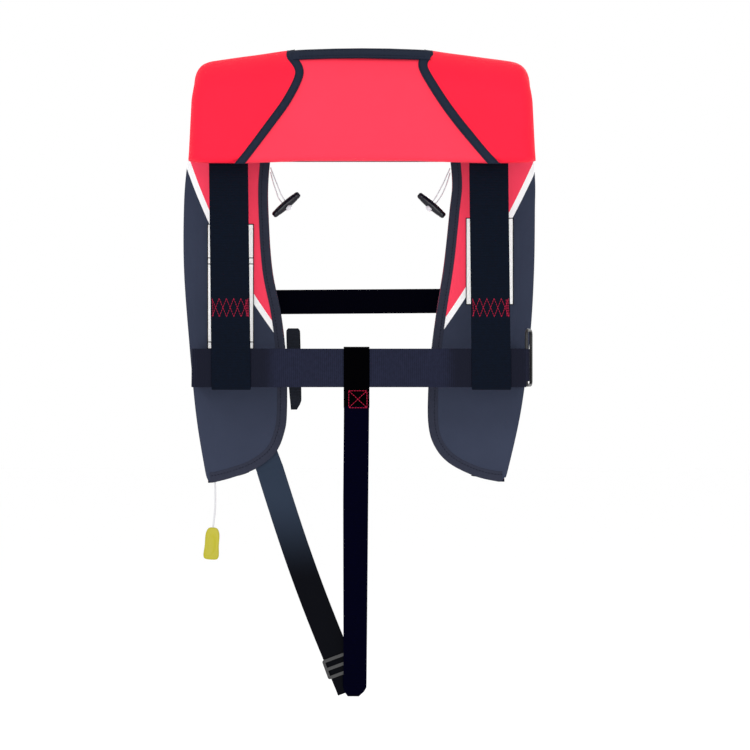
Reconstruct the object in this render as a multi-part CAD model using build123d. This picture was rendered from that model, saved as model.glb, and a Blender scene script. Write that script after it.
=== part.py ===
from build123d import *

import os
from math import atan2, cos, degrees, pi, radians, sin, tan

# An inflatable life jacket, hanging upright. -X is the wearer's left, +Y the wearer's front, +Z up.
# The origin is the top of the neck edge, in the jacket's middle plane. Sizes are in millimetres.

SIDES = {"left": -1, "right": 1}

# Layers of the jacket, as distances from its middle plane.
BACKING_IN = 38.0
BACKING_OUT = 41.0
PAD_IN = 44.5
PAD_OUT = 67.0
PANEL_IN = 68.0
COVER_IN = 70.0
COVER_OUT = 72.0
LID_OUT = 78.0
WALL = 2.0

# Shoulder arch: the outer path's corner radius, how fast the shoulders drop, and where the drop starts.
ARCH_RADIUS = 52.0
SHOULDER_SLOPE = 0.137
DROP_START = 73.0
ARCH_FOOT = -72.0
NECK_HALF = 84.0
SHOULDER_END = 245.0
COLLAR_EDGE = -44.0

# Yoke, seen from the back.
YOKE_BOTTOM = -156.5
YOKE_TOP_HALF = 211.0
PANEL_TOP = -12.0
NECK_BAND_TOP = 3.0
NECK_BAND_FRONT = -38.0
NECK_BAND_BACK = -54.0

# Webbing.
WEB = 1.6
BELT_Y = -39.9
BELT_TOP = -386.0
BELT_BOTTOM = -435.0
STRAP_WIDTH = 50.0
STRAP_TOP = -132.0
STRAP_BOTTOM = -438.5
STITCH_TOP = -322.0
STITCH_BOTTOM = -346.0
STRAP_OUTER_Y = (-42.6, -41.0)
STRAP_INNER_Y = (-38.8, -37.2)
FRONT_WEB_Y = (41.3, 42.9)

# Lobes: distances outward from the middle plane, and heights.
LOBES = {
    "left": {
        "outer": [(216, -85), (235, -255), (220, -413)],
        "tip": (197, -559.5),
        "bottom": [(166, -556), (119, -532), (97, -478)],
        "inner_low": [(95, -450), (101, -380)],
        "inner_high": [(117, -282), (121, -160)],
        "strap_x": -165.0,
        "label": (140, 200, -222, -385.5),
        "flap_edge": [(86, 6), (76, -34), (88, -76), (112, -113), (152, -158)],
        "flap_band": 11.0,
        "toggle": (97.6, -195.0),
    },
    "right": {
        "outer": [(219, -85), (229.5, -240), (219, -413)],
        "tip": (184, -560),
        "bottom": [(153, -556), (107, -533), (90, -490)],
        "inner_low": [(88.5, -446), (94, -380)],
        "inner_high": [(106, -282), (120, -160)],
        "strap_x": 165.0,
        "label": (139, 201, -213, -327),
        "flap_edge": [(82, 6), (79, -30), (95, -58), (129, -106), (172, -158)],
        "flap_band": 13.0,
        "toggle": (93.9, -196.0),
    },
}
EDGE_BAND = 13.0
LID_TOP = -345.0
LID_GAP = 0.6
LID_REACH = 20.0

# Front waist belt and its side-release buckle, centred on the belt.
BUCKLE_X = 2.0
BUCKLE_Y = 42.1
BUCKLE_Z = -410.5
BUCKLE_HALF_HEIGHT = 24.6
FRONT_BELT_HALF = 20.0

# Inflator, in the left lobe.
CYLINDER_X, CYLINDER_Y = -171.0, 61.5
CYLINDER_R = 12.5
INFLATOR_TOP, INFLATOR_BOTTOM = -503.0, -541.5
STEM_X, STEM_Z = -171.0, -524.0
LEVER_PIVOT = (-184.5, -536.0)
LEVER_ARM = 10.0
LEVER_REST = 40.0

# Oral tube, in the right lobe.
TUBE_X, TUBE_Y = 178.0, 59.0
TUBE_BOTTOM, TUBE_TOP = -525.0, -405.0
TUBE_R, TUBE_BORE = 6.0, 4.0

# Ring at the belt's right end: where its two long bars stand, in (x, y).
RING_INNER = (211.9, -36.5)
RING_OUTER = (219.8, -11.5)
RING_WIRE = 2.0
RING_TOP, RING_BOTTOM = -362.5, -432.5

# Crotch strap.
CROTCH_X = -4.0
CROTCH_WIDTH = 32.0
CROTCH_LOW = -832.5
LEG_WIDTH = 36.0
LEG_TOP = (-119.0, 42.0, -542.0)
LEG_BOTTOM = (-14.0, 9.0, -823.0)

# Pull cord: from the lever's eye, out at the lobe's bottom, to the handle.
PULL_CORD_D = 2.5
PULL_CORD_ROUTE = [
    (-192.2, 48.0, -530.0),
    (-192.5, 46.4, -535.5),
    (-192.3, 43.2, -540.0),
    (-191.8, 42.5, -545.8),
    (-191.0, 42.45, -556.5),
    (-190.2, 42.5, -577.0),
    (-190.6, 42.5, -598.6),
    (-193.4, 42.5, -620.0),
]
HANDLE_TOP = PULL_CORD_ROUTE[-1]
HANDLE_TILT = 4.0

# Toggle cords: a loop from the lobe's edge, through the bead and back.
# Each point is a distance outward from the bead, and a height above it.
TOGGLE_CORD_D = 1.6
TOGGLE_Y = 50.0
TOGGLE_TILT = 40.6
TOGGLE_EDGE = 118.2
TOGGLE_DOWN = [(23.3, 49.0), (17.8, 36.0), (12.0, 23.5)]
TOGGLE_UP = [(14.8, 17.5), (19.6, 29.5), (23.3, 43.0)]


def block(x, y, z):
    """A box from three (low, high) pairs."""
    size = [high - low for low, high in (x, y, z)]
    centre = [(high + low) / 2 for low, high in (x, y, z)]
    return Pos(*centre) * Box(*size)


def prism(sketch, y_low, y_high):
    """A sketch drawn in (x, z), made solid from y_low to y_high."""
    placed = Plane.XZ.offset(-y_high) * sketch
    return extrude(placed, amount=y_high - y_low, dir=(0, -1, 0))


def upright(sketch, z_low, z_high):
    """A sketch drawn in (x, y), made solid from z_low to z_high."""
    return extrude(Pos(0, 0, z_low) * sketch, amount=z_high - z_low, dir=(0, 0, 1))


def region(edges):
    """The flat area inside a closed loop of edges, facing up in its own sketch."""
    face = make_face(edges)
    return face if face.faces()[0].normal_at().Z > 0 else make_face([edge.reversed() for edge in edges])


def path_region(reach):
    """Everything inside the jacket's front-to-back path at this distance, drawn in (y, z)."""
    radius = reach - (COVER_OUT - ARCH_RADIUS)
    top = reach - COVER_OUT
    low = -900.0
    bend = radius * (1 - cos(radians(45)))
    back = ThreePointArc((-reach, top - radius), (bend - reach, top - bend), (radius - reach, top))
    front = ThreePointArc((reach - radius, top), (reach - bend, top - bend), (reach, top - radius))
    edges = [
        Line((-reach, low), (-reach, top - radius)),
        back,
        Line((radius - reach, top), (reach - radius, top)),
        front,
        Line((reach, top - radius), (reach, low)),
        Line((reach, low), (-reach, low)),
    ]
    return region(edges)


def shoulder_solid(side, inner, outer):
    """The layer between two distances, over one shoulder, dropping outward."""
    profile = path_region(outer)
    if inner:
        profile -= path_region(inner)
    lean = Vector(side, 0, -SHOULDER_SLOPE).normalized()
    length = (SHOULDER_END - DROP_START) / abs(lean.X)
    return extrude(Plane.YZ.offset(side * DROP_START) * profile, amount=length, dir=lean)


def collar_solid(x_low, x_high, inner, outer):
    """The layer between two distances, straight across the middle of the back."""
    profile = path_region(outer) - path_region(inner)
    return extrude(Plane.YZ.offset(x_low) * profile, amount=x_high - x_low, dir=(1, 0, 0))


def front_outline(name):
    """Outline of one lobe and its shoulder in (x, z)."""
    lobe, side = LOBES[name], SIDES[name]

    def at(point):
        return (side * point[0], point[1])

    corner = [at(p) for p in ((184, -12), (203, -25), (YOKE_TOP_HALF, -48))]
    outer = [at(p) for p in lobe["outer"]]
    bottom = [at(p) for p in lobe["bottom"]]
    low = [at(p) for p in lobe["inner_low"]]
    high = [at(p) for p in lobe["inner_high"]]
    neck = [at(p) for p in ((108, -92), (NECK_HALF, -40), (NECK_HALF, 12), (184, 12))]
    edges = [
        Line(neck[2], neck[3]),
        Line(neck[3], corner[0]),
        ThreePointArc(*corner),
        Line(corner[2], outer[0]),
        ThreePointArc(*outer),
        Line(outer[2], at(lobe["tip"])),
        Line(at(lobe["tip"]), bottom[0]),
        ThreePointArc(*bottom),
        ThreePointArc(bottom[2], *low),
        Line(low[1], high[0]),
        Line(high[0], high[1]),
        ThreePointArc(high[1], neck[0], neck[1]),
        Line(neck[1], neck[2]),
    ]
    return region(edges)


def yoke_outline():
    """Outline of the yoke seen from the back, with its two rounded shoulder corners."""
    top, low = 12.0, YOKE_BOTTOM
    edges = []
    for side in (-1, 1):
        edges += [
            Line((side * 216, low), (side * YOKE_TOP_HALF, -48)),
            ThreePointArc((side * YOKE_TOP_HALF, -48), (side * 203, -25), (side * 184, -12)),
            Line((side * 184, -12), (side * 184, top)),
        ]
    edges += [Line((-216, low), (216, low)), Line((-184, top), (184, top))]
    return region(edges)


def flap_line(name):
    """The line where a shoulder cover's flap ends on the yoke."""
    side = SIDES[name]
    p = [(side * x, z) for x, z in LOBES[name]["flap_edge"]]
    return [ThreePointArc(p[0], p[1], p[2]), Line(p[2], p[3]), Line(p[3], p[4])]


def beyond_flap_line(name, outward):
    """Everything on the outer or the inner side of the flap's line."""
    side = SIDES[name]
    p = [(side * x, z) for x, z in LOBES[name]["flap_edge"]]
    far = side * (300 if outward else -300)
    loop = [p[4], (far, p[4][1]), (far, p[0][1]), p[0]]
    edges = flap_line(name) + [Line(a, b) for a, b in zip(loop, loop[1:])]
    return region(edges)


def box_sketch(x, z):
    """A rectangle in (x, z) from two (low, high) pairs."""
    centre = Pos((x[0] + x[1]) / 2, (z[0] + z[1]) / 2)
    return centre * Rectangle(x[1] - x[0], z[1] - z[0])


def outer_zone(name, inset):
    """The part of a lobe near its outer edge, where it has no edge band."""
    lobe, side = LOBES[name], SIDES[name]
    tip = (lobe["tip"][0] - inset, lobe["tip"][1] + inset)
    points = [(x - inset, z) for x, z in lobe["outer"]] + [tip, (300, tip[1]), (300, 20)]
    points.append((NECK_HALF + 60, 20))
    loop = [(side * x, z) for x, z in points]
    return region([Line(a, b) for a, b in zip(loop, loop[1:] + loop[:1])])


def edge_band(name, near, far):
    """A band along the lobe's inner and bottom edges, between two insets."""
    outline = front_outline(name)
    rim = offset(outline, -near) if near else outline
    return rim - offset(outline, -far) - outer_zone(name, EDGE_BAND + 1)


# Yoke and shoulders


def yoke_backing():
    """Flat backing panel behind the neck, with a step up between the shoulders."""
    low = box_sketch((-212, 212), (YOKE_BOTTOM, ARCH_FOOT))
    high = box_sketch((-NECK_HALF, NECK_HALF), (ARCH_FOOT, -ARCH_RADIUS))
    return prism(low + high, -BACKING_OUT, -BACKING_IN)


def shoulder_backing(name):
    """Backing over one shoulder, down to the top of the lobe."""
    side = SIDES[name]
    arch = shoulder_solid(side, BACKING_IN, BACKING_OUT)
    zone = front_outline(name) & box_sketch((-300, 300), (ARCH_FOOT, 20))
    return arch & prism(zone, -COVER_OUT, COVER_OUT)


def shoulder_cover(name):
    """One outer panel: the flap on the back, over the shoulder, and down the front to the opening cover."""
    side = SIDES[name]
    shell = shoulder_solid(side, BACKING_OUT + 0.2, COVER_OUT)
    hollow = shoulder_solid(side, 0, COVER_IN)
    band = prism(trace(flap_line(name), LOBES[name]["flap_band"]), -90, 0)
    flap = yoke_outline() & beyond_flap_line(name, True)
    back_hollow = offset(yoke_outline(), -WALL)
    back = (shell & prism(flap, -90, COLLAR_EDGE)) - (hollow & prism(back_hollow, -90, COLLAR_EDGE))
    back -= band + block((-300, 300), (-43.4, 0), (YOKE_BOTTOM - 1, YOKE_BOTTOM + WALL + 1))
    outline = front_outline(name)
    above = outline & box_sketch((-300, 300), (LID_TOP, 20))
    front = (shell & prism(above, COLLAR_EDGE, 90)) - (hollow & prism(offset(outline, -WALL), COLLAR_EDGE, 90))
    slot = block(sorted((side * 90, side * 130)), (40, 43.4), (-341, -305))
    return back + front - slot


def yoke_centre_panel():
    """The middle panel on the back, which runs under both flaps, with the hem that closes the pad."""
    zone = yoke_outline() & box_sketch((-300, 300), (YOKE_BOTTOM, PANEL_TOP))
    for name in SIDES:
        zone = zone & beyond_flap_line(name, False)
    skin = collar_solid(-230, 230, PANEL_IN, COVER_IN - 0.4) & prism(zone, -90, COLLAR_EDGE)
    hem = block((-149, 168), (-PANEL_IN, -43.4), (YOKE_BOTTOM, YOKE_BOTTOM + WALL))
    return skin + hem


def neck_binding():
    """The bound neck edge: a rolled lip on the outside and the wall that closes the collar."""
    layer = collar_solid(-77, 82, BACKING_IN, COVER_OUT + 1)
    lip = block((-90, 90), (NECK_BAND_BACK, NECK_BAND_FRONT), (PANEL_TOP + 0.2, NECK_BAND_TOP))
    wall = block((-90, 90), (-42, NECK_BAND_FRONT), (-ARCH_RADIUS, NECK_BAND_TOP))
    return layer & (lip + wall)


def flap_binding(name):
    """The bound edge of a flap, lying on the centre panel."""
    band = trace(flap_line(name), LOBES[name]["flap_band"])
    zone = yoke_outline() & box_sketch((-300, 300), (YOKE_BOTTOM, PANEL_TOP))
    layer = collar_solid(-230, 230, COVER_IN + 0.1, COVER_OUT + 1.2)
    return layer & prism(band, -90, COLLAR_EDGE) & prism(zone, -90, COLLAR_EDGE)


def bladder():
    """One welded horseshoe: collar, both shoulders, and both lobes with room for the hardware."""
    low = box_sketch((-207, 207), (YOKE_BOTTOM + 4, -60))
    collar = prism(low, -PAD_OUT, -PAD_IN)
    collar += prism(box_sketch((-NECK_HALF - 6, NECK_HALF + 6), (-60, -54)), -PAD_OUT + 2, -PAD_IN)
    whole = collar
    for name, side in SIDES.items():
        inset = offset(front_outline(name), -5)
        top = inset & offset(yoke_outline(), -5) & box_sketch((-300, 300), (-76, 20))
        arch = shoulder_solid(side, PAD_IN, PAD_OUT) & prism(top, -COVER_OUT, COVER_OUT)
        upper = inset & box_sketch((-300, 300), (LID_TOP, -75))
        lower = offset(front_outline(name), -LID_REACH) & box_sketch((-300, 300), (-600, LID_TOP + 1))
        whole += arch + prism(upper + lower, 46.5, PAD_OUT)
    cylinder_room = block((-240, -154), (49, 80), (-600, -374))
    tube_room = block((162, 240), (49, 80), (-600, -374))
    whistle_room = block((100, 170), (65.5, 80), (-600, -400))
    lever_room = block((-240, -182.5), (40, 80), (-600, -516))
    return whole - cylinder_room - tube_room - whistle_room - lever_room


# Lobes


def lobe_backing(name):
    """Body-side panel of a lobe, inside its edge binding."""
    zone = front_outline(name) & box_sketch((-300, 300), (-600, ARCH_FOOT))
    return prism(zone - edge_band(name, 0, EDGE_BAND), BACKING_IN, BACKING_OUT)


def lobe_binding(name):
    """Stitched binding along the lobe's inner and bottom edges."""
    zone = edge_band(name, 0, EDGE_BAND) & box_sketch((-300, 300), (-600, ARCH_FOOT))
    return prism(zone, BACKING_IN - 0.8, BACKING_OUT)


def lobe_label(name):
    """A thin label sewn on the body side."""
    low, high, top, bottom = LOBES[name]["label"]
    x = sorted((SIDES[name] * low, SIDES[name] * high))
    return block(x, (BACKING_IN - 0.5, BACKING_IN), (bottom, top))


def opening_cover(name):
    """The front cover's lower half: it opens like a door about the lobe's outer edge."""
    below = box_sketch((-300, 300), (-600, LID_TOP - LID_GAP))
    outline = front_outline(name)
    shell = prism(outline & below, 44.2, LID_OUT)
    hollow = prism(offset(outline, -WALL), 44.2, LID_OUT - WALL)
    bottom = box_sketch((-300, 300), (-600, -520))
    flange = prism((edge_band(name, WALL, 14) & below) - bottom, 44.2, 46)
    beside_cord = box_sketch(sorted((SIDES[name] * 90, SIDES[name] * 186)), (-600, -520))
    flange += prism(edge_band(name, WALL, 9.6) & beside_cord, 44.2, 46)
    return shell - hollow + flange


def closure_strip(name, y_low, y_high):
    """Hook or loop tape in three lengths: above the belt, below the belt and along the bottom."""
    side = SIDES[name]
    band = edge_band(name, 3, 9)
    windows = [((80, 130), (-383, -350)), ((80, 112), (-486, -439)), ((146, 172), (-570, -530))]
    pieces = []
    for x, z in windows:
        zone = band & box_sketch(sorted((side * x[0], side * x[1])), z)
        pieces += prism(zone, y_low, y_high).solids()
    return Compound(children=pieces)


# Webbing


def back_strap(name):
    """Wide strap from under the yoke, with a loop round the belt closed by a stitched band."""
    centre = LOBES[name]["strap_x"]
    x = (centre - STRAP_WIDTH / 2, centre + STRAP_WIDTH / 2)
    outer = block(x, STRAP_OUTER_Y, (STRAP_BOTTOM, STRAP_TOP))
    inner = block(x, STRAP_INNER_Y, (STRAP_BOTTOM, STITCH_TOP))
    foot = block(x, (STRAP_OUTER_Y[0], STRAP_INNER_Y[1]), (STRAP_BOTTOM, STRAP_BOTTOM + WEB))
    band = block(x, (STRAP_OUTER_Y[0], STRAP_INNER_Y[1]), (STITCH_BOTTOM, STITCH_TOP))
    return outer + inner + foot + band


def waist_belt_back():
    """Belt across the back, with a run forward on each side to the lobe, and a loop for the ring."""
    lug_y = BACKING_IN - WEB / 2
    left = Polyline((-186, lug_y), (-214.5, lug_y), (-213.5, BELT_Y), (RING_INNER[0], BELT_Y))
    right = Polyline((200, BELT_Y), (213.5, lug_y), (186, lug_y))
    eye = Pos(*RING_INNER) * (Circle(RING_WIRE + 2.2) - Circle(RING_WIRE + 0.6))
    belt = upright(trace(left, WEB) + trace(right, WEB), BELT_BOTTOM, BELT_TOP)
    return belt + upright(eye, RING_BOTTOM + RING_WIRE + 2.5, BELT_TOP)


def chest_strap():
    """Plain strap between the lobes, sewn inside both."""
    return block((-150, 140), (BACKING_OUT, BACKING_OUT + WEB), (-339.3, -306.7))


def front_belt(side):
    """Half of the front waist belt, from inside its lobe to a loop round the buckle's bar."""
    z = (BUCKLE_Z - FRONT_BELT_HALF, BUCKLE_Z + FRONT_BELT_HALF)
    bar = BUCKLE_X + side * 31.5
    loop_x = sorted((bar - side * 3.7, bar + side * 5.5))
    loop = block(loop_x, (BUCKLE_Y - 4.4, BUCKLE_Y + 4.4), z)
    loop -= block(sorted((bar - side * 2.1, bar + side * 3.9)), (BUCKLE_Y - 2.8, BUCKLE_Y + 2.8), (-500, -300))
    run_end = side * (150 if side > 0 else 215)
    run = block(sorted((bar + side * 3.9, run_end)), FRONT_WEB_Y, z)
    return loop + run


def belt_room(side):
    """Space that the belt's loop needs round the bar at one end of the buckle."""
    z = (BUCKLE_Z - 20.5, BUCKLE_Z + 20.5)
    y, end = BUCKLE_Y, BUCKLE_X + side * 34
    room = block(sorted((end, end - side * 11)), (y - 7, y + 7), z)
    bar = block(sorted((end, end - side * 4)), (y - 2.5, y + 2.5), z)
    return room - bar


def buckle_socket():
    """Female half: a box with a mouth towards the tongue, a window for each prong and a belt bar."""
    x, y, z, h = BUCKLE_X, BUCKLE_Y, BUCKLE_Z, BUCKLE_HALF_HEIGHT
    body = block((x - 33, x + 6), (y - 6, y + 6), (z - h, z + h))
    body = fillet(body.edges().filter_by(Axis.X), 2.5)
    mouth = block((x - 20, x + 7), (y - 4, y + 4), (z - 20.5, z + 20.5))
    window = block((x - 17, x - 4), (y - 4, y + 4), (z - 30, z + 30))
    return body - mouth - window - belt_room(-1)


def buckle_tongue():
    """Male half: a block with a guide blade and a belt bar."""
    x, y, z, h = BUCKLE_X, BUCKLE_Y, BUCKLE_Z, BUCKLE_HALF_HEIGHT
    body = block((x + 9.5, x + 33), (y - 6, y + 6), (z - h, z + h))
    body = fillet(body.edges().filter_by(Axis.X), 2.5)
    blade = block((x - 12, x + 9.5), (y - 2, y + 2), (z - 6, z + 6))
    return body - belt_room(1) + blade


def buckle_prong(up):
    """A springy arm that ends in a pad flush in the socket's window."""
    x, y, z = BUCKLE_X, BUCKLE_Y, BUCKLE_Z
    arm = block((x - 12, x + 8.8), (y - 3, y + 3), (z + 12, z + 16))
    pad = block((x - 16, x - 5), (y - 3.4, y + 3.4), (z + 12.5, z + 20))
    pad = fillet(pad.edges().filter_by(Axis.Y), 1.5)
    prong = arm + pad
    return prong if up else mirror(prong, Plane.XY.offset(z))


def side_ring():
    """A wire ring, long bars upright, looped in the end of the back belt."""
    across = Vector(RING_OUTER[0] - RING_INNER[0], RING_OUTER[1] - RING_INNER[1])
    middle = Vector(*RING_INNER) + across * 0.5
    centre = (middle.X, middle.Y, (RING_TOP + RING_BOTTOM) / 2)
    flat = Plane(origin=centre, x_dir=across.normalized(), z_dir=(across.Y, -across.X, 0))
    path = flat * RectangleRounded(across.length, RING_TOP - RING_BOTTOM, 6).wire()
    start = Plane(origin=path @ 0, z_dir=path % 0)
    return sweep(start * Circle(RING_WIRE), path=path)


def tether_loop():
    """Soft loop of webbing standing on the front belt."""
    loop = Pos(BUCKLE_Y, -404.3) * (Rectangle(10.4, 92.6) - Rectangle(6.8, 89.4))
    tail = Pos(BUCKLE_Y, -457.5) * Rectangle(3.6, 15)
    return extrude(Plane.YZ.offset(-94.5) * (loop + tail), amount=18, dir=(1, 0, 0))


# Crotch strap


def leg_plane(share):
    """A plane across the front leg at a share of its length: x along its width, z up the leg."""
    low, high = Vector(*LEG_BOTTOM), Vector(*LEG_TOP)
    up = (high - low).normalized()
    return Plane(origin=low + (high - low) * share, x_dir=Vector(0, 1, 0).cross(up), z_dir=up)


def crotch_strap():
    """Loop on the back belt, back leg, fold at the bottom and front leg up to the left lobe."""
    x = (CROTCH_X - CROTCH_WIDTH / 2, CROTCH_X + CROTCH_WIDTH / 2)
    inner_y, outer_y = -38.1, -41.7
    side_view = Polyline(
        (inner_y, -461),
        (inner_y, BELT_TOP + 1.2),
        (outer_y, BELT_TOP + 1.2),
        (outer_y, -461),
        (3.5, CROTCH_LOW),
        (9.0, CROTCH_LOW),
        (9.0, CROTCH_LOW + 24),
    )
    profile = Plane.YZ.offset(x[0]) * trace(side_view, 1.4)
    webbing = extrude(profile, amount=CROTCH_WIDTH, dir=(1, 0, 0))
    stitched = block(x, (outer_y, inner_y), (-461, -439))
    leg_length = (Vector(*LEG_TOP) - Vector(*LEG_BOTTOM)).length
    leg = leg_plane(0.5) * Box(LEG_WIDTH, 1.4, leg_length)
    return webbing + stitched + leg


def crotch_root():
    """Upper end of the front leg, sewn to the backing inside the left lobe."""
    end = leg_plane(1).origin
    lean = degrees(atan2(LEG_BOTTOM[0] - LEG_TOP[0], LEG_TOP[2] - LEG_BOTTOM[2]))
    strip = Pos(end.X - 18.5, FRONT_WEB_Y[0] + 0.8, end.Z + 50.5) * Rot(0, -lean, 0) * Box(LEG_WIDTH, WEB, 104)
    return strip & block((-300, 0), (0, 60), (-541, -437))


def crotch_slider():
    """Adjuster that slides along the front leg, with a window on each side of its bar."""
    frame = Box(44, 6, 26)
    frame = fillet(frame.edges().filter_by(Axis.Y), 3)
    frame -= Box(38, 2.6, 40)
    for along in (-1, 1):
        frame -= Pos(0, 0, along * 5.5) * Box(37, 8, 7)
    return leg_plane(0.1) * frame


# Inflator


def gas_cylinder():
    """Steel cylinder with a domed end and a neck that screws into the inflator."""
    foot, top = INFLATOR_TOP + 12, -385.0
    barrel = Pos(0, 0, (foot + top) / 2) * Cylinder(CYLINDER_R, top - foot)
    barrel = fillet(barrel.edges().sort_by(Axis.Z)[-1], 9)
    cone = Pos(0, 0, foot - 4) * Cone(6, CYLINDER_R, 8)
    neck = Pos(0, 0, INFLATOR_TOP) * Cylinder(6, 12)
    return Pos(CYLINDER_X, CYLINDER_Y, 0) * (barrel + cone + neck)


def inflator_body():
    """Moulded head with a socket for the cylinder, a hole for the manifold and one for the lever's pin."""
    middle = (INFLATOR_BOTTOM + INFLATOR_TOP) / 2
    face = RectangleRounded(30, INFLATOR_TOP - INFLATOR_BOTTOM, 5.5)
    body = prism(Pos(-173, middle) * face, 52.4, 70)
    socket = Pos(CYLINDER_X, CYLINDER_Y, INFLATOR_TOP - 3) * Cylinder(6.05, 6.4)
    stem = Pos(STEM_X, 61, STEM_Z) * Rot(90, 0, 0) * Cylinder(5.1, 30)
    pin = Pos(LEVER_PIVOT[0], 55.5, LEVER_PIVOT[1]) * Rot(90, 0, 0) * Cylinder(1.55, 6.4)
    return body - socket - stem - pin


def bladder_manifold():
    """Disc welded on the bladder, with the stem that carries the inflator."""
    disc = Pos(STEM_X, 50.6, STEM_Z) * Rot(90, 0, 0) * Cylinder(11, 3.2)
    stem = Pos(STEM_X, 62.5, STEM_Z) * Rot(90, 0, 0) * Cylinder(5, 23)
    return disc + stem


def manifold_nut():
    """Cap nut on the manifold's stem."""
    nut = RegularPolygon(8, 6) - Circle(5.05)
    return prism(Pos(STEM_X, STEM_Z) * nut, 70.1, 75)


def inflator_lever():
    """Flat arm with the cord's eye at its end, turning on its own pin."""
    hub = Circle(3)
    reach = radians(180 - LEVER_REST)
    eye = Pos(LEVER_ARM * cos(reach), LEVER_ARM * sin(reach))
    arm = make_hull([hub.edges()[0], (eye * Circle(2.2)).edges()[0]]) - eye * Circle(1.0)
    plate = prism(Pos(*LEVER_PIVOT) * arm, 49.4, 52.0)
    pin = Pos(LEVER_PIVOT[0], 54.6, LEVER_PIVOT[1]) * Rot(90, 0, 0) * Cylinder(1.5, 5.6)
    return plate + pin


# Cords


def turn_between(a, b, c):
    """How far the route turns at b, in degrees."""
    return (b - a).get_angle(c - b)


def cord_radii(points):
    """For each corner, the largest arc that its two runs leave room for."""
    radii = []
    for a, b, c in zip(points, points[1:], points[2:]):
        shorter = min((b - a).length, (c - b).length)
        radii.append(0.45 * shorter / tan(radians(turn_between(a, b, c)) / 2))
    return radii


def cord_tube(name, route, diameter):
    """A tube along straight runs joined by tangent arcs."""
    points = [Vector(*p) for p in route]
    radii = cord_radii(points)
    path = FilletPolyline(*points, radius=radii)
    start = Plane(origin=path @ 0, z_dir=path % 0)
    tube = sweep(start * Circle(diameter / 2), path=path)
    print(name, "radii", [round(r, 1) for r in radii], "length", round(path.length, 1))
    print(name, "volume over section times length", round(tube.volume / (path.length * pi * diameter**2 / 4), 4))
    return tube


def pull_handle():
    """Flat moulded handle, narrow at the cord and flared at the bottom."""
    half = [(5, 0), (8, -3), (9.5, -12), (9.2, -24), (10.5, -38), (8, -42)]
    loop = [(x, z) for x, z in half] + [(-x, z) for x, z in reversed(half)]
    outline = region([Line(a, b) for a, b in zip(loop, loop[1:] + loop[:1])])
    placed = Pos(HANDLE_TOP[0], HANDLE_TOP[2]) * Rot(0, 0, -HANDLE_TILT) * fillet(outline.vertices(), 1.8)
    return prism(placed, HANDLE_TOP[1] - 2.5, HANDLE_TOP[1] + 2.5)


def toggle_route(name):
    """Loop of cord: down from the lobe's edge, through the bead's hole, round and back."""
    side, (out, height) = SIDES[name], LOBES[name]["toggle"]
    spread = (TOGGLE_EDGE - out) / TOGGLE_DOWN[0][0]
    tilt = radians(TOGGLE_TILT)

    def beside(along, through):
        x = -along * cos(tilt) - through * sin(tilt)
        return (x, along * sin(tilt) - through * cos(tilt))

    middle = [beside(2.7, -12), beside(2.2, -3), beside(2.35, 6)]
    middle += [beside(-2.35, 6), beside(-2.2, -3), beside(-2.7, -12)]
    down = [(x * spread, z) for x, z in TOGGLE_DOWN]
    up = [(x * spread, z) for x, z in TOGGLE_UP]
    return [(side * (out + x), TOGGLE_Y, height + z) for x, z in down + middle + up]


def toggle_bead(name):
    """Barrel bead with a slot through its middle for both strands."""
    side, (out, height) = SIDES[name], LOBES[name]["toggle"]
    edges = [
        ThreePointArc((3.1, -22.5), (5.3, 0), (3.1, 22.5)),
        Line((3.1, 22.5), (0, 22.5)),
        Line((0, 22.5), (0, -22.5)),
        Line((0, -22.5), (3.1, -22.5)),
    ]
    barrel = revolve(Plane.XZ * region(edges), Axis.Z, 360)
    slot = Rot(0, 90, 0) * extrude(SlotOverall(7.4, 2.4), amount=8, both=True)
    return Pos(side * out, TOGGLE_Y, height) * Rot(0, -side * (90 - TOGGLE_TILT), 0) * (barrel - slot)


# Oral tube and whistle


def oral_tube():
    """Standing tube with a flange on the bladder and a seat for its valve."""
    tube = Pos(TUBE_X, TUBE_Y, (TUBE_TOP + TUBE_BOTTOM) / 2) * Cylinder(TUBE_R, TUBE_TOP - TUBE_BOTTOM)
    bore = Pos(TUBE_X, TUBE_Y, (TUBE_TOP + TUBE_BOTTOM + 12) / 2) * Cylinder(TUBE_BORE, TUBE_TOP - TUBE_BOTTOM - 10)
    elbow = Pos(TUBE_X, 55, TUBE_BOTTOM + 6) * Rot(90, 0, 0) * Cylinder(5.5, 10)
    flange = Pos(TUBE_X, 50.3, TUBE_BOTTOM + 6) * Rot(90, 0, 0) * Cylinder(12, 2.4)
    seat = Pos(TUBE_X, TUBE_Y, TUBE_TOP - 12) * (Cylinder(TUBE_BORE + 0.5, 2) - Cylinder(1.8, 2))
    return tube - bore + elbow + flange + seat


def oral_valve():
    """Valve stem with a head under its seat and a button above it."""
    stem = Pos(0, 0, TUBE_TOP - 9) * Cylinder(1.5, 14)
    head = Pos(0, 0, TUBE_TOP - 15) * Cylinder(3.2, 3)
    button = Pos(0, 0, TUBE_TOP - 3.5) * Cylinder(3.2, 3)
    return Pos(TUBE_X, TUBE_Y, 0) * (stem + head + button)


def oral_cap():
    """Dust cap over the mouth of the tube."""
    outer = Pos(TUBE_X, TUBE_Y, TUBE_TOP - 5) * Cylinder(8, 16)
    inner = Pos(TUBE_X, TUBE_Y, TUBE_TOP - 6.2) * Cylinder(TUBE_R + 0.06, 14)
    return outer - inner


def whistle():
    """Flat pealess whistle with a mouthpiece, two sound slots and a hole for its tape."""
    body = block((124, 142), (66.8, 74.8), (-468, -424))
    body = fillet(body.edges().filter_by(Axis.Y), 4)
    channel = block((127, 139), (69.3, 72.3), (-452, -420))
    slots = block((126, 140), (71, 76), (-450, -446))
    eye = Pos(133, 70.8, -462) * Rot(90, 0, 0) * Cylinder(2, 12)
    return body - channel - slots - eye


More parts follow.
